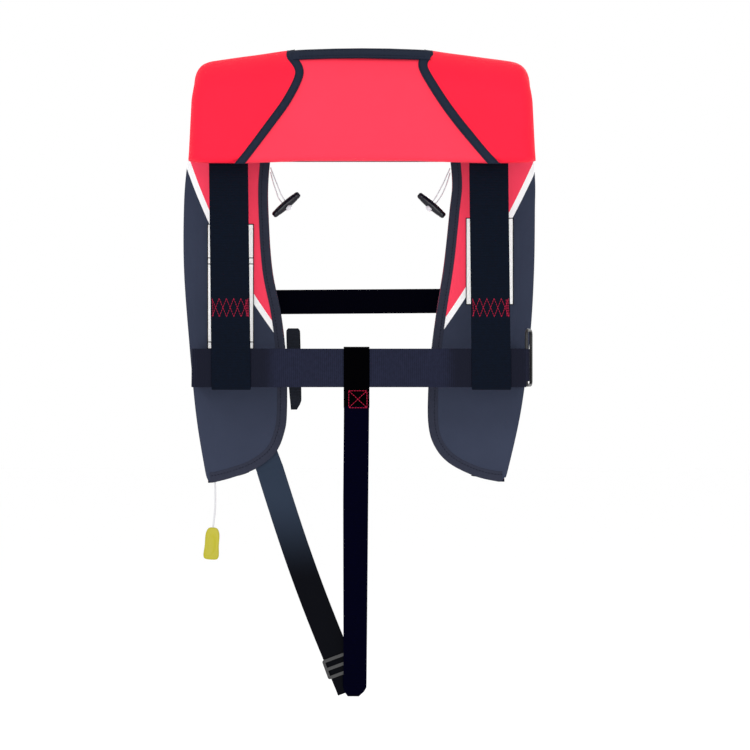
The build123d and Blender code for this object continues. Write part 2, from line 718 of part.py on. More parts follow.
def whistle_tape():
    """Short tape from the oral tube's foot to the whistle's eye."""
    run = block((130, TUBE_X), (65.6, 66.7), (-496, -488))
    drop = block((130, 136), (65.6, 66.7), (-492, -458.5))
    stud = Pos(133, 69, -462) * Rot(90, 0, 0) * Cylinder(1.6, 5.6)
    clip = upright(Pos(TUBE_X, TUBE_Y) * (Circle(7.4) - Circle(6.05)), -496, -488)
    return run + drop + stud + clip


def build_nodes():
    """Every sub-part by name."""
    nodes = {
        "yoke_backing": yoke_backing(),
        "yoke_centre_panel": yoke_centre_panel(),
        "neck_binding": neck_binding(),
        "bladder": bladder(),
        "waist_belt_back": waist_belt_back(),
        "waist_belt_front_left": front_belt(-1),
        "waist_belt_front_right": front_belt(1),
        "chest_strap": chest_strap(),
        "buckle_socket": buckle_socket(),
        "buckle_tongue": buckle_tongue(),
        "buckle_prong_upper": buckle_prong(True),
        "buckle_prong_lower": buckle_prong(False),
        "side_ring": side_ring(),
        "tether_loop": tether_loop(),
        "crotch_strap": crotch_strap(),
        "crotch_strap_root": crotch_root(),
        "crotch_slider": crotch_slider(),
        "gas_cylinder": gas_cylinder(),
        "inflator_body": inflator_body(),
        "inflator_lever": inflator_lever(),
        "bladder_manifold": bladder_manifold(),
        "manifold_nut": manifold_nut(),
        "pull_cord": cord_tube("pull_cord", PULL_CORD_ROUTE, PULL_CORD_D),
        "pull_handle": pull_handle(),
        "oral_tube": oral_tube(),
        "oral_valve": oral_valve(),
        "oral_cap": oral_cap(),
        "whistle": whistle(),
        "whistle_tape": whistle_tape(),
    }
    for name in SIDES:
        nodes["shoulder_backing_" + name] = shoulder_backing(name)
        nodes["shoulder_cover_" + name] = shoulder_cover(name)
        nodes["flap_binding_" + name] = flap_binding(name)
        nodes["lobe_backing_" + name] = lobe_backing(name)
        nodes["lobe_binding_" + name] = lobe_binding(name)
        nodes["lobe_label_" + name] = lobe_label(name)
        nodes["opening_cover_" + name] = opening_cover(name)
        nodes["loop_tape_" + name] = closure_strip(name, BACKING_OUT, 42.5)
        nodes["hook_tape_" + name] = closure_strip(name, 42.7, 44.2)
        nodes["back_strap_" + name] = back_strap(name)
        nodes["toggle_bead_" + name] = toggle_bead(name)
        nodes["toggle_cord_" + name] = cord_tube("toggle_cord_" + name, toggle_route(name), TOGGLE_CORD_D)
    return nodes


def main():
    os.makedirs("parts", exist_ok=True)
    for name, shape in build_nodes().items():
        export_step(shape, f"parts/{name}.step")


main()
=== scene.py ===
from math import asin, atan2, cos, hypot, pi, radians, sin

import bmesh
import bpy
import numpy as np
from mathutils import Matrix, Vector, noise
from mathutils.geometry import delaunay_2d_cdt


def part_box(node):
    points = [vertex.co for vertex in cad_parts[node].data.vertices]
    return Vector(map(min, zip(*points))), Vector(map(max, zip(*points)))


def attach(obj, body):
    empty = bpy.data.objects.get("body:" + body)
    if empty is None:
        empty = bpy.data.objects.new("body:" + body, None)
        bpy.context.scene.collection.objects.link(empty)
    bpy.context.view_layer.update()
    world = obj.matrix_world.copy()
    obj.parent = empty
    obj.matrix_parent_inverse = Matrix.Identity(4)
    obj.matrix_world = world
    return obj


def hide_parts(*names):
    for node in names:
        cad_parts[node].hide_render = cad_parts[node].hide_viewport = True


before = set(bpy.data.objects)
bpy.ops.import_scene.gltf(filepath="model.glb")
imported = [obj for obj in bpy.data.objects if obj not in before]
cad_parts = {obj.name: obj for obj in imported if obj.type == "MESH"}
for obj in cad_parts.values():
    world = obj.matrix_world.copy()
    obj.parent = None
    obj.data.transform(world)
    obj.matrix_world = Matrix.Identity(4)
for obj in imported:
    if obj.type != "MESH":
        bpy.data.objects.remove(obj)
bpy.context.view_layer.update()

# Lengths below are in millimetres, and MM takes them to Blender's metres. The camera, the lights
# and the floor are placed in metres.
# -X is the wearer's left, +Y the wearer's front and +Z up, as in the CAD model.
MM = 0.001
SIDES = {"left": -1, "right": 1}

# The path of the padding over a shoulder: a flat top between two round corners, then straight down.
TOP_HALF = 20.0
PATH_RADIUS = 52.0
PATH_CENTRE = -PATH_RADIUS
PATH_ARC = PATH_RADIUS * pi / 2
PATH_FRONT = 2 * PATH_ARC + 2 * TOP_HALF
SLOPE, SLOPE_START = 0.137, 73.0

# Distances outward from the jacket's middle plane.
LINING_IN, LINING_OUT = 38.0, 41.0
COVER_EDGE = 43.4
COVER_FULL = 72.0
LID_FULL = 77.0
PANEL_FULL = 69.4
FLAP_FULL = 71.4
SHELL_THICK = 1.5


def corners(node):
    """A CAD node's lowest and highest corners, in millimetres."""
    low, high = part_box(node)
    return np.array(low) / MM, np.array(high) / MM


YOKE_LOW = corners("yoke_centre_panel")[0][2]
BELT_LOW, BELT_HIGH = (corner[2] for corner in corners("waist_belt_back"))
LID_TOP = corners("shoulder_cover_left")[0][2]

# Each lobe's shape, drawn in (x, z) with x outward from the middle.
OUTLINES = {
    "left": {
        "outer": [
            (218, -88), (228.5, -157), (231.6, -215), (231, -285),
            (225, -368), (215.5, -470), (204, -542), (200, -557),
        ],
        "inner": [
            (84, -40), (110, -92), (120.4, -160), (119.8, -225), (115, -285), (104, -340), (97.3, -400),
            (96.4, -465), (100, -495), (112, -522), (137, -542), (168, -553.8), (190, -559.6),
        ],
        "tip": (196.5, -560),
        "flap": [(151.3, YOKE_LOW), (112.2, -105), (88.7, -71.6), (75.5, -40), (86, -17.6)],
        "flap_band": 11.0,
        "yoke_edge": (213, 216),
        "stripe": [(223, -149.8), (170.8, -267.1), (117.9, -351.3)],
        "label": (140, 200, -222, -385),
        "strap": (166.6, 163.0),
        "toggle": (97.6, -195.0),
    },
    "right": {
        "outer": [
            (221, -88), (229, -157), (229.2, -205), (228, -285),
            (223, -368), (211.5, -463), (193.8, -544), (189.5, -554),
        ],
        "inner": [
            (84, -40), (110, -92), (120.6, -160), (117.4, -205), (109.9, -275), (101.2, -330), (93.2, -390),
            (89.5, -440), (89.8, -485), (98, -513), (117, -535), (151, -552), (178, -558.4),
        ],
        "tip": (186, -558.4),
        "flap": [(169.5, YOKE_LOW), (126, -105), (98, -66), (80.5, -34), (83, -17.6)],
        "flap_band": 12.0,
        "yoke_edge": (219, 222),
        "stripe": [(226, -152), (168.6, -262), (109, -354.5)],
        "label": (139, 200.5, -214, -327),
        "strap": (163.3, 167.2),
        "toggle": (93.9, -196.0),
    },
}
EDGE_BAND = 12.8
INSET = 3.5  # how far the padded covers stay back from the lobe's inner edge

scene = bpy.context.scene
noise.seed_set(7)


# Camera, light and room


def add_camera():
    """Level with the jacket's middle, looking straight at its back."""
    data = bpy.data.cameras.new("camera")
    data.lens, data.sensor_width = 88.32, 36.0
    data.clip_end = 60
    camera = bpy.data.objects.new("camera", data)
    camera.location = (0.0194, -2.375, -0.4195)
    camera.rotation_euler = (pi / 2, 0, 0)
    scene.collection.objects.link(camera)
    scene.camera = camera


def add_light(name, place, aim, size, power):
    data = bpy.data.lights.new(name, "AREA")
    data.size, data.energy = size, power
    light = bpy.data.objects.new(name, data)
    light.location = place
    light.rotation_euler = (Vector(aim) - Vector(place)).to_track_quat("-Z", "Y").to_euler()
    scene.collection.objects.link(light)


def add_room():
    """A pale floor that is well below the hanging jacket, and even studio light from all round."""
    world = bpy.data.worlds.new("studio")
    world.use_nodes = True
    background = world.node_tree.nodes["Background"]
    background.inputs["Color"].default_value = (1, 1, 1, 1)
    background.inputs["Strength"].default_value = 1.0
    scene.world = world
    mesh = bpy.data.meshes.new("floor")
    half, level = 14.0, -1.25
    square = [(-half, -half), (half, -half), (half, half), (-half, half)]
    mesh.from_pydata([(x, y, level) for x, y in square], [], [(0, 1, 2, 3)])
    floor = bpy.data.objects.new("floor", mesh)
    scene.collection.objects.link(floor)
    floor.data.materials.append(plain("floor_paint", (255, 255, 255), 0.9))
    middle = (0, 0, -0.4)
    add_light("key", (-1.5, -2.2, 1.1), middle, 0.5, 9)
    add_light("fill", (1.9, -2.0, 0.0), middle, 0.8, 2)
    add_light("behind", (0.1, -3.0, -0.35), middle, 1.5, 20)
    add_light("front", (0.9, 2.4, 1.0), middle, 0.6, 10)


# Materials


def linear(rgb):
    """An sRGB colour of 0 to 255 as a linear one."""
    share = [c / 255 for c in rgb]
    return [s / 12.92 if s <= 0.04045 else ((s + 0.055) / 1.055) ** 2.4 for s in share] + [1.0]


class Nodes:
    """Short calls to add and join the nodes of one material."""

    def __init__(self, name):
        self.material = bpy.data.materials.new(name)
        self.material.use_nodes = True
        self.tree = self.material.node_tree
        self.shader = self.tree.nodes["Principled BSDF"]
        self.place = self.add("ShaderNodeTexCoord").outputs["Object"]

    def add(self, kind, **settings):
        node = self.tree.nodes.new(kind)
        for key, value in settings.items():
            setattr(node, key, value)
        return node

    def join(self, source, target):
        if hasattr(source, "node"):
            self.tree.links.new(source, target)
        else:
            target.default_value = source

    def maths(self, operation, a, b=0.0, c=0.0):
        node = self.add("ShaderNodeMath", operation=operation)
        for socket, value in zip(node.inputs, (a, b, c)):
            self.join(value, socket)
        return node.outputs[0]

    def noise(self, scale, detail=3.0):
        node = self.add("ShaderNodeTexNoise")
        self.join(self.place, node.inputs["Vector"])
        node.inputs["Scale"].default_value = scale
        node.inputs["Detail"].default_value = detail
        return node.outputs["Fac"]

    def ripple(self, direction, pitch):
        """A wave from 0 to 1 along a direction, with this many millimetres from crest to crest."""
        dot = self.add("ShaderNodeVectorMath", operation="DOT_PRODUCT")
        self.join(self.place, dot.inputs[0])
        dot.inputs[1].default_value = Vector(direction) * (2 * pi / (pitch * MM))
        wave = self.maths("SINE", dot.outputs["Value"])
        return self.maths("MULTIPLY_ADD", wave, 0.5, 0.5)

    def axis(self, letter):
        parts = self.add("ShaderNodeSeparateXYZ")
        self.join(self.place, parts.inputs[0])
        return parts.outputs[letter]

    def fade(self, value, first, last, start=0.0, end=1.0):
        """Goes smoothly from start to end between two places in millimetres."""
        span = self.add("ShaderNodeMapRange", interpolation_type="SMOOTHSTEP")
        self.join(value, span.inputs["Value"])
        for socket, number in zip(span.inputs[1:5], (first * MM, last * MM, start, end)):
            socket.default_value = number
        return span.outputs[0]

    def near(self, centre, full, fade):
        """How near a point is to a place across the jacket: 1.2 up to a distance, then fading to 0."""
        away = self.maths("ABSOLUTE", self.maths("SUBTRACT", self.axis("X"), centre * MM))
        return self.fade(away, full, full + fade, 1.2, 0.0)

    def blend_colour(self, share, low, high):
        mix = self.add("ShaderNodeMix", data_type="RGBA")
        self.join(share, mix.inputs["Factor"])
        mix.inputs[6].default_value = low
        mix.inputs[7].default_value = high
        return mix.outputs[2]

    def bump(self, height, depth, strength=1.0, under=None):
        node = self.add("ShaderNodeBump")
        self.join(height, node.inputs["Height"])
        node.inputs["Distance"].default_value = depth * MM
        node.inputs["Strength"].default_value = strength
        if under is not None:
            self.join(under, node.inputs["Normal"])
        return node.outputs[0]

    def surface(self, roughness, metallic=0.0, sheen=0.0, specular=0.5):
        for socket, value in (
            ("Roughness", roughness),
            ("Metallic", metallic),
            ("Sheen Weight", sheen),
            ("Specular IOR Level", specular),
        ):
            self.shader.inputs[socket].default_value = value


def shade(rgb, factor):
    """A linear colour made darker or lighter."""
    return [min(1.0, c * factor) for c in linear(rgb)[:3]] + [1.0]


def plain(name, rgb, roughness):
    n = Nodes(name)
    n.shader.inputs["Base Color"].default_value = linear(rgb)
    n.surface(roughness, specular=0.2)
    return n.material


def cloth(name, rgb, weave=0.9, vary=0.10, roughness=0.6, depth=0.12, specular=0.1):
    """Woven cloth: a fine plain weave, soft blotches of colour and shallow creases."""
    n = Nodes(name)
    threads = n.maths("MULTIPLY", n.ripple((1, 0, 0), weave), n.ripple((0, 0.7, 0.7), weave))
    clouds = n.noise(14.0, 4.0)
    colour = n.blend_colour(clouds, shade(rgb, 1 - vary), shade(rgb, 1 + vary))
    n.join(colour, n.shader.inputs["Base Color"])
    creases = n.bump(n.noise(38.0, 5.0), 0.9, 0.35)
    n.join(n.bump(threads, depth, 0.8, creases), n.shader.inputs["Normal"])
    n.surface(roughness, specular=specular)
    return n.material


def webbing(name, rgb, ribs, pitch=2.3, vary=0.35, roughness=0.7, depth=0.35, specular=0.08, shadows=()):
    """Webbing with ribs across its length. It has painted shadow: darker where another strap crosses it."""
    n = Nodes(name)
    rib = n.ripple(ribs, pitch)
    along = Vector(ribs).cross((0, 1, 0)).normalized()
    thread = n.ripple(along, 0.9)
    patches = n.noise(240.0)
    both = n.maths("MULTIPLY", n.maths("MULTIPLY_ADD", thread, 0.35, 0.65), rib)
    mottled_and_shaded = n.maths("MULTIPLY_ADD", patches, 0.7, n.maths("MULTIPLY", both, 0.5))
    # painted shadow: darker near each strap that crosses the webbing
    for centre in shadows:
        mottled_and_shaded = n.maths("SUBTRACT", mottled_and_shaded, n.near(centre, 27.0, 34.0))
    colour = n.blend_colour(mottled_and_shaded, shade(rgb, 1 - vary), shade(rgb, 1 + vary))
    n.join(colour, n.shader.inputs["Base Color"])
    fuzz = n.bump(patches, 0.25, 0.6)
    n.join(n.bump(both, depth, 0.9, fuzz), n.shader.inputs["Normal"])
    n.surface(roughness, specular=specular)
    return n.material


def satin(name, light, dark, heights):
    """Smooth webbing with a painted highlight: lighter at its upper end and darker lower down."""
    n = Nodes(name)
    # painted highlight: the colour runs from dark at the lower height to light at the upper one
    share = n.fade(n.axis("Z"), heights[1], heights[0])
    n.join(n.blend_colour(share, linear(dark), linear(light)), n.shader.inputs["Base Color"])
    thread = n.maths("MULTIPLY", n.ripple((-0.35, 0, 0.93), 1.6), n.ripple((0.93, 0, 0.35), 1.1))
    n.join(n.bump(thread, 0.08, 0.7, n.bump(n.noise(45.0), 0.8, 0.3)), n.shader.inputs["Normal"])
    n.surface(0.5, specular=0.04)
    return n.material


def moulded(name, rgb, roughness=0.4, grain=900.0, depth=0.03, vary=0.08, specular=0.5):
    """Moulded plastic with a fine grain."""
    n = Nodes(name)
    colour = n.blend_colour(n.noise(30.0), shade(rgb, 1 - vary), shade(rgb, 1 + vary))
    n.join(colour, n.shader.inputs["Base Color"])
    n.join(n.bump(n.noise(grain, 2.0), depth, 0.7), n.shader.inputs["Normal"])
    n.surface(roughness, specular=specular)
    return n.material


def metal(name, rgb, roughness, turning=(0, 0, 1)):
    """Metal with faint marks round it from turning or drawing."""
    n = Nodes(name)
    marks = n.maths("MULTIPLY", n.ripple(turning, 0.7), n.noise(60.0))
    colour = n.blend_colour(n.noise(55.0, 4.0), shade(rgb, 0.86), shade(rgb, 1.06))
    n.join(colour, n.shader.inputs["Base Color"])
    n.join(n.bump(marks, 0.03, 0.5), n.shader.inputs["Normal"])
    n.surface(roughness, metallic=1.0)
    return n.material


def mesh_cloth(name, rgb):
    """Open knitted lining mesh: rows of small holes."""
    n = Nodes(name)
    holes = n.maths("MULTIPLY", n.ripple((0.7, 0, 0.7), 2.4), n.ripple((0.7, 0.3, -0.65), 2.4))
    colour = n.blend_colour(holes, shade(rgb, 1.25), shade(rgb, 0.35))
    n.join(colour, n.shader.inputs["Base Color"])
    n.join(n.bump(holes, -0.5, 0.9), n.shader.inputs["Normal"])
    n.surface(0.8, sheen=0.2, specular=0.2)
    return n.material


RED = cloth("shell_red", (246, 26, 56), vary=0.09, specular=0.12)
PANEL_RED = cloth("panel_red", (250, 54, 78), vary=0.08, specular=0.12)
LINING = cloth("lining_charcoal", (50, 56, 74), vary=0.14, roughness=0.8, depth=0.2)
LINING_RED = cloth("lining_red", (254, 66, 94), vary=0.05, roughness=0.8)
LINING_WHITE = cloth("lining_white", (252, 252, 254), vary=0.02, roughness=0.8)
BINDING = webbing("binding_navy", (45, 48, 62), (0.2, 0, 1), 1.3, 0.25, 0.8, 0.2)
DARK_BINDING = webbing("binding_dark", (28, 35, 50), (1, 0, 0), 1.3, 0.3, 0.8, 0.2)
THREAD_DARK = cloth("thread_dark", (12, 14, 30), weave=0.6)
THREAD_RED = cloth("thread_red", (176, 26, 62), weave=0.6, roughness=0.5)
# the belt has painted shadow beside the two back straps
BELT = webbing("belt_navy", (25, 28, 46), (1, 0, 0), 2.6, 0.45, shadows=(-164, 165))
# painted shade: a darker copy of the belt webbing, for its turned ends and the ring keeper
BELT_SHADED = webbing("belt_side_shaded", (20, 22, 37), (0, 1, 0), 2.6, 0.4)
STRAP = webbing("strap_black", (0, 7, 22), (0, 0, 1), 2.1, 0.6)
CHEST = webbing("strap_chest", (0, 0, 6), (1, 0, 0), 2.2, 0.5, specular=0.015)
CROTCH = webbing("strap_crotch", (0, 0, 15), (0, 0, 1), 2.0, 0.5, specular=0.015)
LOOP = webbing("strap_loop", (0, 0, 1), (0, 0, 1), 2.0, 0.5, specular=0.01)
TETHER = webbing("strap_tether", (15, 19, 29), (0, 0, 1), 2.0, 0.6, specular=0.15)
LEG = satin("strap_leg", (40, 50, 66), (1, 2, 8), (-570, -690))
LABEL = cloth("label_white", (252, 252, 252), weave=0.5, vary=0.02, roughness=0.7)
LABEL_LINE = plain("label_line", (14, 14, 18), 0.7)
MESH = mesh_cloth("inner_mesh", (34, 38, 56))
FILM = moulded("bladder_film", (225, 130, 12), 0.35, 160.0, 0.25, 0.08)
BLACK = moulded("black_plastic", (12, 12, 15), 0.4)
GLOSS = moulded("gloss_black", (13, 15, 28), 0.22, 300.0, 0.01, 0.1, specular=0.32)
YELLOW = moulded("yellow_plastic", (168, 160, 0), 0.42, 500.0, 0.04, 0.06)
ORANGE = moulded("orange_plastic", (228, 84, 14), 0.25)
RED_PLASTIC = moulded("red_plastic", (180, 16, 20), 0.3)
WIRE = moulded("black_wire", (8, 8, 12), 0.3, 400.0, 0.03, 0.1, specular=0.4)
STEEL = metal("cylinder_steel", (178, 181, 184), 0.34)
BRASS = metal("manifold_brass", (200, 170, 105), 0.3, (0, 1, 0))
TAPE = webbing("closure_tape", (16, 17, 22), (0, 0, 1), 1.2, 0.5, 0.9, 0.5)
CORD_GREY = webbing("cord_grey", (205, 205, 208), (0.3, 0, 1), 1.4, 0.1, 0.7, 0.15)
CORD_WHITE = webbing("cord_white", (232, 232, 238), (0.3, 0, 1), 1.2, 0.05, 0.7, 0.1)
PIPING = webbing("piping", (24, 26, 40), (0, 0, 1), 1.0, 0.3)


# Meshes


def make(name, points, faces, materials, zones=None):
    """A smooth mesh from points in millimetres, with its faces turned outward."""
    mesh = bpy.data.meshes.new(name)
    mesh.from_pydata([tuple(p) for p in np.asarray(points, float) * MM], [], [tuple(f) for f in faces])
    for material in materials:
        mesh.materials.append(material)
    if zones is not None:
        mesh.polygons.foreach_set("material_index", np.asarray(zones, dtype=np.int32))
    work = bmesh.new()
    work.from_mesh(mesh)
    bmesh.ops.recalc_face_normals(work, faces=work.faces)
    for face in work.faces:
        face.smooth = True
    for edge in work.edges:
        edge.smooth = len(edge.link_faces) < 2 or edge.calc_face_angle(0) < radians(48)
    work.to_mesh(mesh)
    work.free()
    piece = bpy.data.objects.new(name, mesh)
    scene.collection.objects.link(piece)
    return piece


def settle(piece, body, slot, *nodes):
    """The piece rides on its body and stands for its CAD nodes. Its slot is not used."""
    if nodes:
        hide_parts(*nodes)
    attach(piece, body)
    return piece


def arc(p, q, r, steps=12):
    """Points on the circular arc from p to r by way of q."""
    (ax, ay), (bx, by), (cx, cy) = p, q, r
    a2, b2, c2 = ax * ax + ay * ay, bx * bx + by * by, cx * cx + cy * cy
    d = 2 * (ax * (by - cy) + bx * (cy - ay) + cx * (ay - by))
    ux = (a2 * (by - cy) + b2 * (cy - ay) + c2 * (ay - by)) / d
    uy = (a2 * (cx - bx) + b2 * (ax - cx) + c2 * (bx - ax)) / d
    start = atan2(ay - uy, ax - ux)
    middle = (atan2(by - uy, bx - ux) - start) % (2 * pi)
    turn = (atan2(cy - uy, cx - ux) - start) % (2 * pi)
    if middle > turn:
        turn -= 2 * pi
    radius = hypot(ax - ux, ay - uy)
    angles = [start + turn * i / steps for i in range(steps + 1)]
    return [(ux + radius * cos(a), uy + radius * sin(a)) for a in angles]


def densify(line, spacing):
    """The same line with points added on its long stretches."""
    result = []
    for a, b in zip(line, line[1:]):
        steps = max(1, round(float(np.hypot(*(np.subtract(b, a)[:2]))) / spacing))
        result += [tuple(np.add(a, np.subtract(b, a) * i / steps)) for i in range(steps)]
    return result + [tuple(line[-1])]


def edge_distance(points, line):
    """How far each flat point is from a line of straight runs."""
    best = np.full(len(points), 1e9)
    for a, b in zip(np.array(line[:-1], float), np.array(line[1:], float)):
        run = b - a
        share = np.clip(((points - a) @ run) / max(run @ run, 1e-9), 0, 1)
        best = np.minimum(best, np.hypot(*(points - a - share[:, None] * run).T))
    return best


def inside(points, loop):
    """Which flat points lie inside a closed outline."""
    result = np.zeros(len(points), bool)
    x, y = points.T
    for (ax, ay), (bx, by) in zip(loop, loop[1:] + loop[:1]):
        if ay == by:
            continue
        crosses = (ay > y) != (by > y)
        result ^= crosses & (x < (bx - ax) * (y - ay) / (by - ay) + ax)
    return result


def fill(loop, spacing, lines=(), rings=()):
    """Flat points and triangles inside an outline, denser near its edge. The lines become edges."""
    border = densify(loop + loop[:1], spacing)[:-1]
    kept = [densify(line, spacing) for line in lines]
    points = [np.array(border)]
    edges = [(i, (i + 1) % len(border)) for i in range(len(border))]
    count = len(border)
    for line in kept:
        points.append(np.array(line))
        edges += [(count + i, count + i + 1) for i in range(len(line) - 1)]
        count += len(line)
    closed = border + border[:1]
    ahead = np.roll(points[0], -1, axis=0) - np.roll(points[0], 1, axis=0)
    normal = np.stack([-ahead[:, 1], ahead[:, 0]], axis=1)
    normal /= np.maximum(np.hypot(*normal.T), 1e-9)[:, None]
    for inset in rings:
        for way in (-1, 1):
            row = points[0] + way * inset * normal
            row = row[inside(row, border)]
            points.append(row[edge_distance(row, closed) > 0.93 * inset])
    low, high = points[0].min(axis=0), points[0].max(axis=0)
    rows = []
    for j, y in enumerate(np.arange(low[1], high[1], spacing * 0.866)):
        x = np.arange(low[0] + (j % 2) * spacing / 2, high[0], spacing)
        rows.append(np.stack([x, np.full(len(x), y)], axis=1))
    grid = np.concatenate(rows)
    grid = grid[inside(grid, border)]
    reach = (max(rings) if rings else 0) + 0.6 * spacing
    grid = grid[edge_distance(grid, closed) > reach]
    for line in kept:
        grid = grid[edge_distance(grid, line) > 0.6 * spacing]
    points.append(grid)
    flat = [Vector(p) for p in np.concatenate(points)]
    made = delaunay_2d_cdt(flat, edges, [list(range(len(border)))], 1, 1e-4)
    return np.array([tuple(v) for v in made[0]]), [list(f) for f in made[2]]


def rim_edges(faces):
    """The edges that only one face has, in that face's direction."""
    seen = {}
    for face in faces:
        for a, b in zip(face, face[1:] + face[:1]):
            seen[(a, b)] = True
    return [edge for edge in seen if (edge[1], edge[0]) not in seen]


def slab(name, flat, faces, outer, inner, materials, zone=None):
    """A closed piece between two surfaces that share one flat layout."""
    count = len(flat)
    back = [[i + count for i in reversed(face)] for face in faces]
    walls = [[b, a, a + count, b + count] for a, b in rim_edges(faces)]
    zones = None
    if zone is not None:
        middle = np.array([flat[face].mean(axis=0) for face in faces])
        index = zone(middle)
        wall_index = zone(np.array([(flat[w[0]] + flat[w[1]]) / 2 for w in walls]))
        zones = np.concatenate([index, index, wall_index])
    return make(name, np.concatenate([outer, inner]), faces + back + walls, materials, zones)


def cushion(name, flat, faces, place, outer, inner, materials, full, slot, *nodes, body="root", zone=None):
    """A padded piece between two distances from the middle plane, settled on its body."""
    piece = slab(name, flat, faces, place(flat, outer), place(flat, inner), materials, zone)
    settle(piece, body, slot, *nodes)


def pillow(distance, width, power=2.4):
    """How full padding is at a distance from its edge, from 0 to 1."""
    share = np.clip(np.asarray(distance, float) / width, 0, 1)
    return (1 - (1 - share) ** power) ** (1 / power)


def rumple(points, size, seed, height):
    """Soft unevenness of cloth, as a height for each flat point."""
    rows = [noise.noise(Vector((p[0] / size, p[1] / size, seed))) for p in points]
    return np.array(rows) * height


def drop(x):
    return SLOPE * np.maximum(0, np.abs(x) - SLOPE_START)


def over_shoulder(flat, reach):
    """Takes (across, along) points to space. Along is 0 where the back starts to turn over the shoulder."""
    x, s = flat.T
    reach = np.broadcast_to(reach, s.shape)
    r = reach - TOP_HALF
    top_end = PATH_ARC + 2 * TOP_HALF
    rising, falling = s / PATH_RADIUS, (s - top_end) / PATH_RADIUS
    zones = [s <= 0, s <= PATH_ARC, s <= top_end, s <= PATH_FRONT]
    forward = [-reach, -TOP_HALF - r * np.cos(rising), s - PATH_ARC - TOP_HALF]
    forward.append(TOP_HALF + r * np.sin(falling))
    upward = [s, r * np.sin(rising), r, r * np.cos(falling)]
    y = np.select(zones, forward, reach)
    z = PATH_CENTRE + np.select(zones, upward, PATH_FRONT - s)
    return np.stack([x, y, z - drop(x)], axis=1)


def on_back(point):
    """(across, along) of a point on the back, from its (x, z)."""
    x, z = point
    up = z - PATH_CENTRE + float(drop(x))
    return (x, up if up < 0 else PATH_RADIUS * asin(min(1.0, up / PATH_RADIUS)))


def on_front(point):
    x, z = point
    return (x, PATH_FRONT + PATH_CENTRE - z - float(drop(x)))


def upright(flat, y):
    """Takes (x, z) points to space at a distance in front of the middle plane."""
    x, z = flat.T
    return np.stack([x, np.broadcast_to(y, x.shape), z], axis=1)


def mirrored(points, side):
    return [(side * x, z) for x, z in points]


def through(points, steps=8):
    """A smooth curve through flat points."""
    line = [points[0]] + list(points) + [points[-1]]
    result = []
    for p, q, r, t in zip(line, line[1:], line[2:], line[3:]):
        p, q, r, t = (np.array(k, float) for k in (p, q, r, t))
        for i in range(steps):
            u = i / steps
            curve = 2 * q + (r - p) * u + (2 * p - 5 * q + 4 * r - t) * u**2 + (3 * q - p - 3 * r + t) * u**3
            result.append(tuple(curve / 2))
    return result + [tuple(points[-1])]


def outer_edge(name, top):
    """The lobe's outer edge from a height down to its tip."""
    lobe = OUTLINES[name]
    edge = [p for p in through(lobe["outer"]) if p[1] < top]
    return mirrored(edge + [lobe["tip"]], SIDES[name])


def inner_edge(name, top):
    """The lobe's inner and bottom edge from a height down and round to its tip."""
    lobe = OUTLINES[name]
    edge = through(lobe["inner"]) + [lobe["tip"]]
    return mirrored([p for p in edge if p[1] < top], SIDES[name])


def height_on(line, z):
    """The point where a line that goes down passes a height."""
    for a, b in zip(line, line[1:]):
        if (a[1] - z) * (b[1] - z) <= 0 and a[1] != b[1]:
            return (a[0] + (b[0] - a[0]) * (z - a[1]) / (b[1] - a[1]), z)
    return line[-1]


def above(line, z):
    return [p for p in line if p[1] > z] + [height_on(line, z)]


def below(line, z):
    return [height_on(line, z)] + [p for p in line if p[1] < z]


def flap_line(name):
    """The edge of a flap, from the yoke's bottom up and over the shoulder, in (across, along)."""
    side = SIDES[name]
    line = [on_back(p) for p in mirrored(through(OUTLINES[name]["flap"]), side)]
    return line + [(side * 87.5, 50.0), (side * 88, 62.0), (side * 87, 76.0)]


# Ribbons, bands and stitches


def sweep(name, rings, materials, closed=False):
    """A closed piece through rings of points that all have the same number of points."""
    rings = np.array(rings, float)
    count, size = rings.shape[:2]
    faces = []
    for i in range(count if closed else count - 1):
        a, b = i * size, ((i + 1) % count) * size
        faces += [(a + j, a + (j + 1) % size, b + (j + 1) % size, b + j) for j in range(size)]
    if not closed:
        faces += [tuple(range(size - 1, -1, -1)), tuple(range((count - 1) * size, count * size))]
    return make(name, rings.reshape(-1, 3), faces, materials)


def smooth_path(points, spacing=4.0, rounds=2):
    """A line of straight runs with its corners eased, and evenly dense."""
    line = np.array(points, float)
    for _ in range(rounds):
        head, tail = line[:1], line[-1:]
        near, far = line[:-1] * 0.75 + line[1:] * 0.25, line[:-1] * 0.25 + line[1:] * 0.75
        line = np.concatenate([head, np.stack([near, far], axis=1).reshape(-1, 3), tail])
    result = [line[0]]
    for a, b in zip(line, line[1:]):
        steps = max(1, int(np.linalg.norm(b - a) / spacing))
        result += [a + (b - a) * i / steps for i in range(1, steps + 1)]
    return np.array(result)


def directions(path):
    ahead = np.gradient(path, axis=0)
    return ahead / np.maximum(np.linalg.norm(ahead, axis=1), 1e-9)[:, None]


